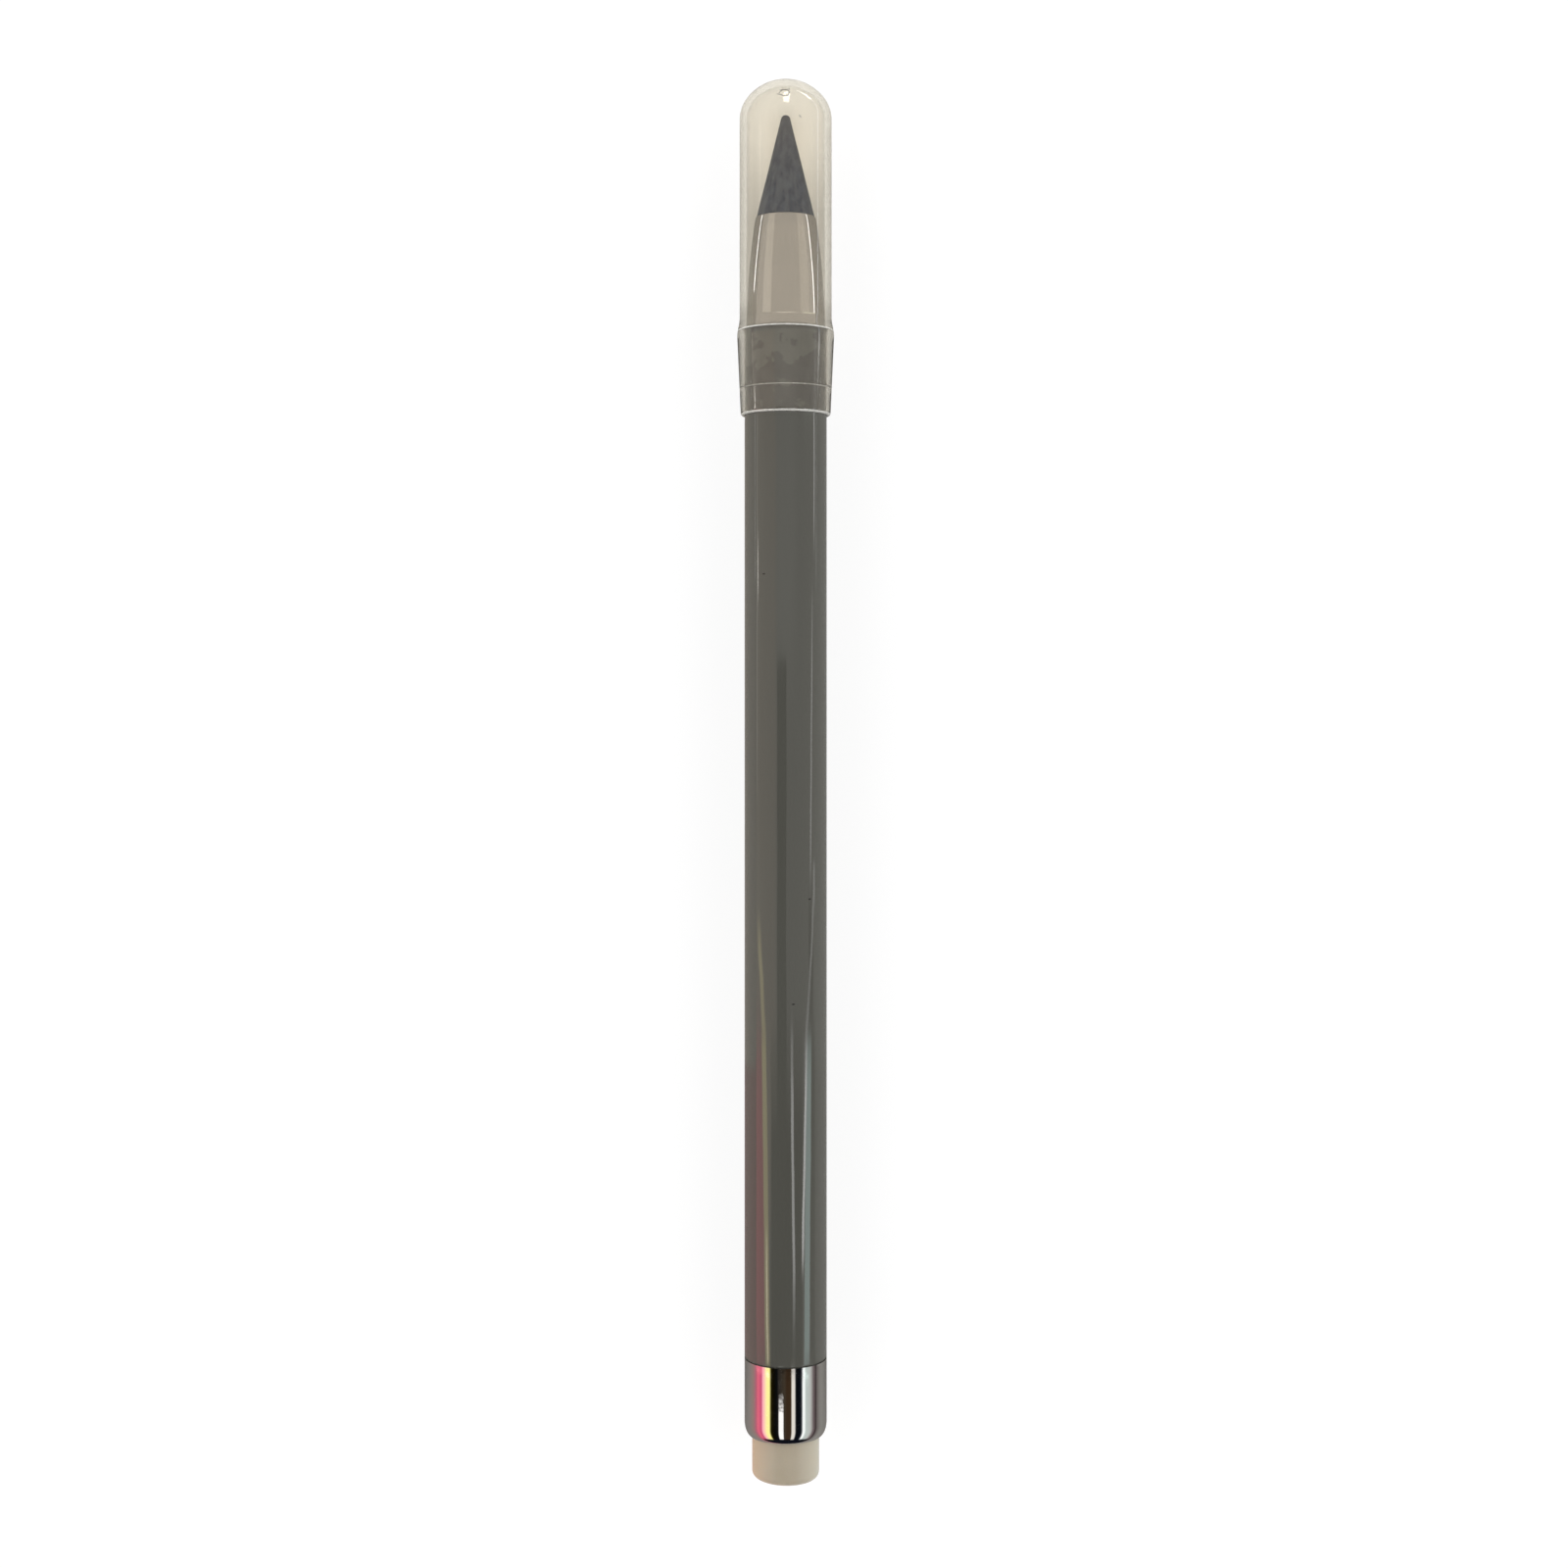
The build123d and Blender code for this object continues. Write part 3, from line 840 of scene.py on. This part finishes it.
def dome(section, base, radius, height, gate=0.0, inwards=False):
    """Add a dome's two arcs to a section, from the tube's wall to the axis or back from it."""
    shoulder = DOME_SHOULDER * height
    offset = radius - shoulder
    crown = (offset**2 + height**2 - shoulder**2) / (2 * (height - shoulder))
    meet = math.degrees(math.atan2(crown - height, offset))
    crown_sweep = 90 - meet - math.degrees(math.asin(gate / crown))
    if inwards:
        section.arc(base + height - crown, 0, -crown_sweep, steps=20)
        section.arc(base, offset, -meet, steps=16)
    else:
        section.arc(base, offset, meet, steps=16)
        section.arc(base + height - crown, 0, crown_sweep, steps=20)
    return section


print(f"the tight arc's radius is {DOME_SHOULDER} of the dome's height")

# %% [markdown]
# The outside is drawn from the lip forwards. The skirt widens up to the shoulder, and the
# shoulder is two equal arcs that bend against each other. The plastic enters the mould at
# the very front, and the broken-off gate leaves a stub in a small dimple, so that it never
# sticks out.

# %% Outside of the cap
grip_clearance = 0.03
lip_bevel = 0.1
lip_land = 0.05
lip_round = 0.3
shoulder_setback = 0.8
shoulder_length = 2.5
sleeve_clearance = 0.12
tube_wall = 0.76
dome_height = 4.8
gate_radius = 0.55
gate_depth = 0.12
gate_draft = 0.8  # share of a radius that is left at the torn end
nub_radius = 0.22
nub_sink = 0.3  # share of the dimple's depth
facet_margin = 0.002  # a hair in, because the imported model's facets are flat
grip_radius = barrel_radius + grip_clearance
lip_radius = grip_radius + lip_bevel + lip_land + lip_round
skirt_radius = cap_radius - facet_margin
tube_bore = sleeve_radius + sleeve_clearance
tube_radius = tube_bore + tube_wall
widest = barrel_front - shoulder_setback
shoulder_end = widest + shoulder_length
curve_drop = (skirt_radius - tube_radius) / 2
curve_radius = ((shoulder_length / 2) ** 2 + curve_drop**2) / (2 * curve_drop)
curve_sweep = math.degrees(math.asin(shoulder_length / 2 / curve_radius))
dome_base = apex - dome_height

section = Outline(lip, grip_radius + lip_bevel).to(lip, lip_radius - lip_round)
section.arc(lip + lip_round, lip_radius - lip_round, 90, steps=6)
section.to(widest, skirt_radius)
section.arc(widest, skirt_radius - curve_radius, curve_sweep, steps=8)
section.arc(shoulder_end, tube_radius + curve_radius, -curve_sweep, steps=8)
section.to(dome_base, tube_radius)
dome(section, dome_base, tube_radius, dome_height, gate=gate_radius)
gate_edge = section.tip.co.x
dimple = gate_edge - gate_depth
nub_end = gate_edge - nub_sink * gate_depth
section.to(dimple, gate_draft * gate_radius).to(dimple, nub_radius)
section.to(nub_end, gate_draft * nub_radius).to(nub_end, 0)
print(f"the skirt is {2 * skirt_radius:.2f} mm across and the tube {2 * tube_radius:.2f} mm")

# %% [markdown]
# The inside is drawn back from the apex. The tube has a little draft, so that the moulding
# comes off its core. The barrel's front butts on a step, and behind it the bore is relieved,
# so that only a short band at the lip grips.

# %% Inside of the cap
grip_length = 3.25
relief_depth = 0.1
relief_length = 0.3
band_round = 0.12
band_rise = 0.4  # share of the relief's depth
tube_draft = 0.08
dome_wall = 0.8
grip_end = lip + grip_length
step = barrel_front

section.to(apex - dome_wall, 0)
dome(section, dome_base, tube_bore - tube_draft, dome_height - dome_wall, inwards=True)
section.to(step, tube_bore).to(step, grip_radius + relief_depth)
section.to(grip_end + relief_length, grip_radius + relief_depth)
section.to(grip_end + band_round, grip_radius + band_rise * relief_depth)
section.to(grip_end, grip_radius)
section.to(lip + lip_bevel, grip_radius).to(lip, grip_radius + lip_bevel)
bm = turn(section)
print(f"the cap grips {grip_length} mm of the barrel")

# %% [markdown]
# The rings with painted light lines are faces of the same shell, not pieces of their own, so
# they get their finish by their place along the axis.

# %% Rings of painted light lines
HAIR = 0.01
STEP_LINE_WIDTH = 0.2
LIP_LINE_SHARE = 0.8  # share of the lip's round
painted_line_rings = [
    (lip - HAIR, lip + LIP_LINE_SHARE * lip_round),
    (grip_end, grip_end + band_round),
    (step - STEP_LINE_WIDTH, step + HAIR),
]
for face in bm.faces:
    middle = face.calc_center_median().x
    if any(low < middle < high for low, high in painted_line_rings):
        face.material_index = 1
cap_piece = place("cap_shell", bm, clear_styrene, "cap", "clear_styrene", "cap")
cap_piece.data.materials.append(painted_line_styrene)

# %% [markdown]
# ## Table
# The pencil lies on a plain white table. A plain diffuse paint would be enough for the soft
# shadow, but a glossy pencil also mirrors its table, bends it through its clear cap and
# gathers its light. So the paint asks what kind of ray has arrived, and answers each kind:
# a straight look, a reflection, a look through the cap, or soft light on its way.

# %% Kinds of rays that reach the table
table_paint = bpy.data.materials.new("white_table")
table_paint.use_nodes = True
tree = table_paint.node_tree
tree.nodes.clear()
rays = add(tree, "LightPath").outputs
glossy, through = rays["Glossy Depth"], rays["Transmission Depth"]
mirrored = add(tree, "Math", {0: glossy, 1: 0.5}, operation="GREATER_THAN")
under_cap = add(tree, "Math", {0: through, 1: 0.5}, operation="GREATER_THAN")
wrapped = add(tree, "Math", {0: through, 1: 2.5}, operation="GREATER_THAN")
print("questions to ask of a ray:", len(rays))

# %% [markdown]
# A mirror side shows a spot of the table at the place along the pencil where the line of
# sight bends towards it, and the further aside the spot is, the nearer to the camera's own
# station that place is. The same sum, solved for the place, lets each part of the table be
# painted for the part of the pencil that mirrors it.

# %% Places on the table
table_spot = add(tree, "TexCoord").outputs["Object"]
table_place = add(tree, "SeparateXYZ", {0: table_spot}).outputs
sideways = add(tree, "MapRange", {0: table_place["Y"], 1: -120 * MM, 2: 120 * MM})
aside = add(tree, "Math", {0: table_place["Y"]}, operation="ABSOLUTE")
drawn_in = add(tree, "Math", {0: aside, 1: camera_station * MM}, operation="MULTIPLY")
drawn_in = {0: table_place["X"], 1: camera_distance * MM, 2: drawn_in}
drawn_in = add(tree, "Math", drawn_in, operation="MULTIPLY_ADD")
reach = add(tree, "Math", {0: aside, 1: camera_distance * MM}, operation="ADD")
seen_at = add(tree, "Math", {0: drawn_in, 1: reach}, operation="DIVIDE")


def set_stops(ramp, colours):
    """Place a ramp's colours, each a position and a hex code, and a strength where it shines."""
    stops = ramp.color_ramp.elements
    for number, (position, *colour) in enumerate(colours):
        if number > 1:
            stops.new(position)
        stops[number].position = position
        stops[number].color = linear(*colour)
    return ramp


def glimpse(colours):
    """What a polished side sees of the table, from right to left."""
    return set_stops(add(tree, "ValToRGB", {"Fac": sideways}), colours)


def table_part(under, over, rear, front):
    """Change from one colour to another between two places along the pencil."""
    share = add(tree, "MapRange", {0: seen_at, 1: rear * MM, 2: front * MM})
    return add(tree, "Mix", {0: share, 6: under, 7: over}, data_type="RGBA")


print("table nodes so far:", len(tree.nodes))

# %% [markdown]
# Polished parts see the table as it is lit, which keeps their sides a soft grey. Two things
# that stand low beside the pencil, a pink one and a dark one, tint the table beside its rear.
# Beside its front, a thin bright line lies on each side.

# %% What the polished sides see
line = ("ffffff", 5.0)
beside_ferrule = glimpse(
    [(0.0, "4f4647"), (0.33, "8a8482"), (0.42, "a3a29e"), (0.56, "a09b98")]
    + [(0.66, "b0928e"), (1.0, "cf7c90")]
)
beside_rear = glimpse([(0.0, "b8b6b2"), (0.5, "cbc9c6"), (0.535, "caa8a8"), (0.62, "dd939c")])
beside_barrel = glimpse([(0.0, "cfcecb"), (0.5, "cfcecb"), (0.53, "dfd3ca"), (1.0, "dfd3ca")])
beside_front = glimpse(
    [(0.0, "cfcecb"), (0.06, "cfcecb"), (0.07, *line), (0.1, *line), (0.11, "cfcecb")]
    + [(0.5, "cfcecb"), (0.53, "dfd3ca")]
    + [(0.87, "dfd3ca"), (0.88, *line), (0.91, *line), (0.92, "dfd3ca")]
)
beside_skirt = glimpse([(0.0, "d6d4cd"), (1.0, "d0cdc6")])
beside_cap = glimpse([(0.0, "f0efe8"), (1.0, "f2efe8")])
beside_cap = table_part(beside_skirt, beside_cap, 56, 58)
seen_polished = table_part(beside_ferrule, beside_rear, -70.0, -69.5)
seen_polished = table_part(seen_polished, beside_barrel, -35.5, -33.5)
seen_polished = table_part(seen_polished, beside_front, 22, 25)
seen_polished = table_part(seen_polished, beside_cap, 43.9, 44.2)
print("table nodes so far:", len(tree.nodes))

# %% [markdown]
# Inside the cap the view is bent twice more. The cap's own wall sees the table beside the
# cap, and the taper that it wraps sees a darker table with one bright line on its left.

# %% What is seen inside the cap
WRAPPED = "a9a6a0"
line = ("e9f0ff", 5.0)
wrapped_line = glimpse(
    [(0.0, WRAPPED), (0.664, WRAPPED), (0.669, *line), (0.695, *line), (0.7, WRAPPED)]
)
wrapped_view = table_part(linear(WRAPPED), wrapped_line, 60, 61)
seen_polished = {0: under_cap, 6: seen_polished, 7: beside_cap}
seen_polished = add(tree, "Mix", seen_polished, data_type="RGBA")
seen_polished = {0: wrapped, 6: seen_polished, 7: wrapped_view}
seen_polished = add(tree, "Mix", seen_polished, data_type="RGBA")
print("table nodes so far:", len(tree.nodes))

# %% [markdown]
# The paint itself is a mid grey, which leaves room for the table's own light. Soft light
# that has met the table comes back pale, cool from the right of the eraser and warm from its
# left, and whoever looks through the cap sees nearly white.

# %% Paint
lit = glimpse([(0.0, "dff0ff"), (0.47, "dff0ff"), (0.53, "ffc4a8"), (1.0, "ffc4a8")])
lit = table_part(lit, linear("eceae6"), -66, -60)
paint = {0: rays["Is Diffuse Ray"], 6: linear("8a8a8a"), 7: lit}
paint = add(tree, "Mix", paint, data_type="RGBA")
paint = {0: rays["Is Transmission Ray"], 6: paint, 7: linear("e4e4e2")}
paint = add(tree, "Mix", paint, data_type="RGBA")
paint = add(tree, "Mix", {0: mirrored, 6: paint, 7: seen_polished}, data_type="RGBA")
matt = add(tree, "BsdfDiffuse", {"Color": paint})
print("table nodes so far:", len(tree.nodes))

# %% [markdown]
# The table's own light makes the background white, while the pencil still drops a soft
# shadow. The camera gets nearly all of it. A look through the cap gets less, but more under
# the dome than under the taper, and an even share further aside. The wall of the cap, which
# gathers light like a lens, gets a little, and so does the eraser from the table beside it.
# A mirror gets none.

# %% The table's own light
CAMERA_LIGHT = 0.83
TAPER_LIGHT, DOME_LIGHT, ASIDE_LIGHT = 0.07, 0.36, 0.1
WALL_LIGHT = 0.11
ERASER_LIGHT = 0.56
is_through = rays["Is Transmission Ray"]
own_light = add(tree, "Math", {0: is_through, 1: mirrored}, operation="SUBTRACT", use_clamp=True)
under_dome = {0: table_place["X"], 1: 70 * MM, 2: 79 * MM, 3: TAPER_LIGHT, 4: DOME_LIGHT}
under_dome = add(tree, "MapRange", under_dome)
see_through = {0: aside, 1: 40 * MM, 2: 80 * MM, 3: under_dome, 4: ASIDE_LIGHT}
see_through = add(tree, "MapRange", see_through)
own_light = add(tree, "Math", {0: own_light, 1: see_through}, operation="MULTIPLY")
in_wall = add(tree, "Math", {0: mirrored, 1: wrapped}, operation="SUBTRACT", use_clamp=True)
in_wall = add(tree, "Math", {0: in_wall, 1: under_cap}, operation="MULTIPLY")
own_light = {0: in_wall, 1: WALL_LIGHT, 2: own_light}
own_light = add(tree, "Math", own_light, operation="MULTIPLY_ADD")
beside_eraser = add(tree, "MapRange", {0: seen_at, 1: -77 * MM, 2: -79 * MM})
bounced = {0: rays["Is Diffuse Ray"], 1: beside_eraser}
bounced = add(tree, "Math", bounced, operation="MULTIPLY")
own_light = {0: bounced, 1: ERASER_LIGHT, 2: own_light}
own_light = add(tree, "Math", own_light, operation="MULTIPLY_ADD")
own_light = {0: rays["Is Camera Ray"], 1: CAMERA_LIGHT, 2: own_light}
own_light = add(tree, "Math", own_light, operation="MULTIPLY_ADD")
own_colour = {0: rays["Is Diffuse Ray"], 6: linear("ffffff"), 7: lit}
own_colour = add(tree, "Mix", own_colour, data_type="RGBA")
glow = add(tree, "Emission", {"Color": own_colour, "Strength": own_light})
both = add(tree, "AddShader", {0: matt, 1: glow})
add(tree, "OutputMaterial", {"Surface": both})
print("table nodes:", len(tree.nodes))

# %% [markdown]
# The table is one flat square, large enough that its edge is out of sight.

# %% Table top
TABLE_HALF = 3.0  # metres
bm = bmesh.new()
bmesh.ops.create_grid(bm, x_segments=1, y_segments=1, size=TABLE_HALF)
table_mesh = bpy.data.meshes.new("table")
bm.to_mesh(table_mesh)
bm.free()
table_mesh.materials.append(table_paint)
table = bpy.data.objects.new("table", table_mesh)
bpy.context.scene.collection.objects.link(table)
print("table:", 2 * TABLE_HALF, "m square")

# %% [markdown]
# ## Room
# A mirror shows what stands around it, so a plated ferrule is only as good as its room. Lamps
# and panels could be built round the pencil, but thin ones must stand exactly where a mirror
# looks, which is easier to say in angles than in places. So the room is drawn straight into
# the sky, as strips that run along the pencil. A strip's place is how far it stands to the
# side of straight up, and over which leans to the rear or to the front it reaches.


# %% Angles and strips
FERRULE_LEAN = -16.6
world = bpy.data.worlds.new("studio")
bpy.context.scene.world = world
world.use_nodes = True
tree = world.node_tree
tree.nodes.clear()
heading = add(tree, "SeparateXYZ", {0: add(tree, "TexCoord").outputs["Generated"]}).outputs
flipped = add(tree, "Math", {0: heading["Y"], 1: -1.0}, operation="MULTIPLY")
side = add(tree, "Math", {0: flipped, 1: heading["Z"]}, operation="ARCTAN2")
side = add(tree, "Math", {0: side}, operation="DEGREES")
lean = add(tree, "Math", {0: heading["X"]}, operation="ARCSINE")
lean = add(tree, "Math", {0: lean}, operation="DEGREES")


def within(value, centre, width, soft):
    """One inside a band of angles, zero outside it, with a soft edge."""
    offset = add(tree, "Math", {0: value, 1: centre}, operation="SUBTRACT")
    away = add(tree, "Math", {0: offset}, operation="ABSOLUTE")
    edges = {0: away, 1: width / 2 + soft, 2: width / 2 - soft}
    return add(tree, "MapRange", edges, interpolation_type="SMOOTHSTEP")


def strip(room, colour, strength, centre, width, rear, front, slant=0.0, soft=0.8, end_soft=0.8):
    """Paint a strip: its place at the ferrule's lean, and its sideways slant per degree."""
    straight = add(tree, "Math", {0: lean, 1: -slant, 2: side}, operation="MULTIPLY_ADD")
    across = within(straight, centre - slant * FERRULE_LEAN, width, soft)
    along = within(lean, (rear + front) / 2, front - rear, end_soft)
    share = add(tree, "Math", {0: across, 1: along}, operation="MULTIPLY")
    paints = {0: share, 6: room, 7: linear(colour, strength)}
    return add(tree, "Mix", paints, data_type="RGBA")


print("the ferrule is seen at a lean of", FERRULE_LEAN, "degrees")

# %% [markdown]
# The front of the room comes first, because it is all that the cap's inside gets to see. The
# strips that the barrel and the cap mirror are faint in their plastic, so they stand strong
# here. A later strip covers an earlier one.

# %% Strips over the front
room = linear("c3c0bd")
# Over the front half: even panels beside the taper, and a thin bright line low on the right.
room = strip(room, "dcd9d6", 1.0, -55, 26, 8, 60, soft=2)
room = strip(room, "d3d0cc", 1.0, 57, 28, 8, 60, soft=2)
room = strip(room, "e9f0ff", 4.5, 87.8, 2, 9, 60, soft=0.5)
# Inside the cap's skirt: grey on the left, bright on the right and overhead.
room = strip(room, "bab8b4", 1.0, -65, 50, 7.0, 9.0, soft=6, end_soft=0.4)
room = strip(room, "f6faf0", 1.1, 72, 40, 7.0, 9.0, soft=8, end_soft=0.4)
room = strip(room, "f0eeea", 1.0, 0, 56, 7.0, 9.0, soft=16, end_soft=0.4)
front_room = room
# Over the barrel's front half: slightly brighter overhead.
room = strip(room, "e2dfda", 1.0, 0, 56, 0.5, 7.5, soft=16, end_soft=2)
# Over the cap's dome: a lamp ahead, and another to its right.
room = strip(room, "ffffff", 9.0, 2, 16, 35.5, 47, soft=2, end_soft=0.6)
room = strip(room, "ffffff", 9.0, 3, 20, 46, 59, soft=2)
room = strip(room, "ffffff", 9.0, 4, 28, 58, 76, soft=2, end_soft=1.5)
room = strip(room, "ffffff", 9.0, 83, 10, 44, 74, soft=1.5, end_soft=2)
print("world nodes so far:", len(tree.nodes))

# %% [markdown]
# The barrel mirrors a lean of about one degree for every five millimetres of its length, so
# a strip that is a few degrees long covers a few centimetres of it. Over its rear stands a
# dark room with windows and coloured panels, which the ferrule mirrors too.

# %% Strips over the middle and the rear
# Over the barrel's left: a warm wall.
room = strip(room, "fdecdc", 0.92, -60, 66, -13, 8, soft=6, end_soft=1)
# Over the middle: a dark panel overhead, and thin lines low on each side.
room = strip(room, "1c1b19", 1.0, -11.2, 25.6, -13, 0.95, end_soft=0.3)
room = strip(room, "fff8ee", 1.8, -87.5, 2.5, -2, 7.5)
room = strip(room, "fff8ee", 8.0, -84.3, 2.2, 2.5, 4.0, end_soft=0.3)
room = strip(room, "ffffff", 3.0, 64.4, 4, -4.5, 1.8, slant=0.81, end_soft=1.5)
room = strip(room, "ffffff", 3.5, 87, 3.5, 4.3, 8)
room = strip(room, "5a5258", 1.0, 75, 17, -8.5, -5.4)
# Over the rear: a dark room with a white gap, a pale window on the right, and coloured
# panels on the left.
room = strip(room, "120e0a", 1.0, 3, 90, -95, -9.5, soft=2, end_soft=2)
room = strip(room, "f5788c", 2.0, -76, 32, -17, -9, soft=1.5, end_soft=2)
room = strip(room, "fff0bc", 2.6, -4.2, 11, -8.6, -6.0, slant=-7.2, soft=2, end_soft=0.5)
room = strip(room, "fff0b4", 2.8, -51.5, 14, -17, -8.5, slant=-1.5, soft=2)
room = strip(room, "fff2cc", 7.0, -50.9, 4, -17, -13.8, slant=-1.5, soft=1, end_soft=0.8)
room = strip(room, "ffffff", 4.2, 24.2, 7, -15.2, -9.3, slant=-0.97, soft=1.2, end_soft=1.5)
room = strip(room, "6e6c69", 1.0, 82, 17, -17, -8.5, soft=1.5)
room = strip(room, "cfe9e6", 3.6, 61, 17, -17, -9, slant=1.0, soft=1.5)
room = strip(room, "ffffff", 6.5, 43.8, 6, -14.2, -9, slant=2.1, soft=1.5, end_soft=1)
room = strip(room, "ffffff", 1.8, 3.4, 6, -9.3, -5.2, slant=7.2, soft=1.5, end_soft=0.5)
room = strip(room, "ffffff", 2.0, 88, 8, -5.4, -4.3, end_soft=0.3)
print("world nodes so far:", len(tree.nodes))

# %% [markdown]
# The ferrule is short and a full mirror, so what it sees is drawn as one run of colours from
# side to side, each brighter than it looks in the metal by what the plating takes away. Its
# rolled mouth looks back along the table, at the dark end of the room.

# %% What the ferrule sees
PLATING_LOSS = 1.42
FERRULE_VIEW = [
    (-90, "bf5d73"), (-83, "db687e"), (-78, "d35979"), (-71, "c55679"), (-68.5, "f7a3b7"),
    (-62, "fbc6b8"), (-58, "fee4b0"), (-53, "fff4a1"), (-47, "fff8a0"), (-42, "221d04"),
    (-35, "0d0a02"), (-24, "0a0c0e"), (-20, "2a2724"), (-3, "3c342a"), (3, "36281c"),
    (15, "382a1c"), (17.5, "e0dcd4"), (25, "dcd9d4"), (28, "23252a"), (31, "06090c"),
    (43, "0a0e16"), (46.5, "5c6066"), (49.5, "f4fafb"), (54, "f4fafb"), (59, "b6c2c0"),
    (73, "b4b8b7"), (78, "9a9897"), (84, "665c5e"), (90, "5c5052"),
]  # fmt: skip
view = add(tree, "ValToRGB", {"Fac": add(tree, "MapRange", {0: side, 1: -90.0, 2: 90.0})})
set_stops(view, [((angle + 90) / 180, colour, PLATING_LOSS) for angle, colour in FERRULE_VIEW])
behind = add(tree, "MapRange", {0: lean, 1: FERRULE_LEAN + 0.15, 2: FERRULE_LEAN - 0.15})
room = add(tree, "Mix", {0: behind, 6: room, 7: view}, data_type="RGBA")
room = strip(room, "ffffff", 1.4, -13, 13, -48, -17.69, soft=1.5, end_soft=0.05)
low_behind = add(tree, "MapRange", {0: lean, 1: -44.0, 2: -52.0})
room = add(tree, "Mix", {0: low_behind, 6: room, 7: linear("11131c")}, data_type="RGBA")
print("colours in the ferrule:", len(FERRULE_VIEW))

# %% [markdown]
# Only reflections see the strips, and what the cap wraps sees only the front ones. A ray that
# just ran along inside the clear wall sees plain white instead, as one beside it does.

# %% Which rays see the strips
rays = add(tree, "LightPath").outputs
is_through, through = rays["Is Transmission Ray"], rays["Transmission Depth"]
inside = add(tree, "Math", {0: through, 1: 0.5}, operation="GREATER_THAN")
room = add(tree, "Mix", {0: inside, 6: room, 7: front_room}, data_type="RGBA")
bounced = add(tree, "Math", {0: rays["Glossy Depth"], 1: 0.5}, operation="GREATER_THAN")
shiny = add(tree, "Math", {0: rays["Is Glossy Ray"], 1: is_through}, operation="MAXIMUM")
reflected = add(tree, "Math", {0: shiny, 1: bounced}, operation="MULTIPLY")
in_wall = add(tree, "Math", {0: through, 1: 2.5}, operation="LESS_THAN")
in_wall = add(tree, "Math", {0: in_wall, 1: is_through}, operation="MULTIPLY")
mirrored = add(tree, "Math", {0: reflected, 1: in_wall}, operation="SUBTRACT", use_clamp=True)
print("world nodes so far:", len(tree.nodes))

# %% [markdown]
# All other light is plain white: weaker straight overhead, where whoever leans over the table
# takes some of it away, and stronger from both sides. The camera itself sees a white wall
# beyond the table, which looks a little dimmer through the cap.

# %% Plain light and the sky
TOP_LIGHT, SIDE_LIGHT = 0.22, 2.05
LOW_WALL, HIGH_WALL = 0.93, 0.62
away_from_top = add(tree, "Math", {0: heading["Y"]}, operation="ABSOLUTE")
overhead = {0: away_from_top, 1: 0.25, 2: 0.8, 3: TOP_LIGHT, 4: SIDE_LIGHT}
overhead = add(tree, "MapRange", overhead, interpolation_type="SMOOTHSTEP")
wall = add(tree, "MapRange", {0: heading["Z"], 1: 0.05, 2: 0.35, 3: LOW_WALL, 4: HIGH_WALL})
through_cap = add(tree, "MapRange", {0: is_through, 3: overhead, 4: wall})
to_camera = add(tree, "MapRange", {0: rays["Is Camera Ray"], 3: through_cap, 4: 1.0})
plain_light = add(tree, "Background", {"Color": (1.0, 1.0, 1.0, 1.0), "Strength": to_camera})
room_light = add(tree, "Background", {"Color": room})
sky = add(tree, "MixShader", {0: mirrored, 1: plain_light, 2: room_light})
add(tree, "OutputWorld", {"Surface": sky})
print("world nodes:", len(tree.nodes))

# %% [markdown]
# ## Finish
# The Standard view shows colours as they were mixed, where Blender's own default would soften
# them like film.

# %% Finish
scene = bpy.context.scene
scene.view_settings.view_transform = "Standard"
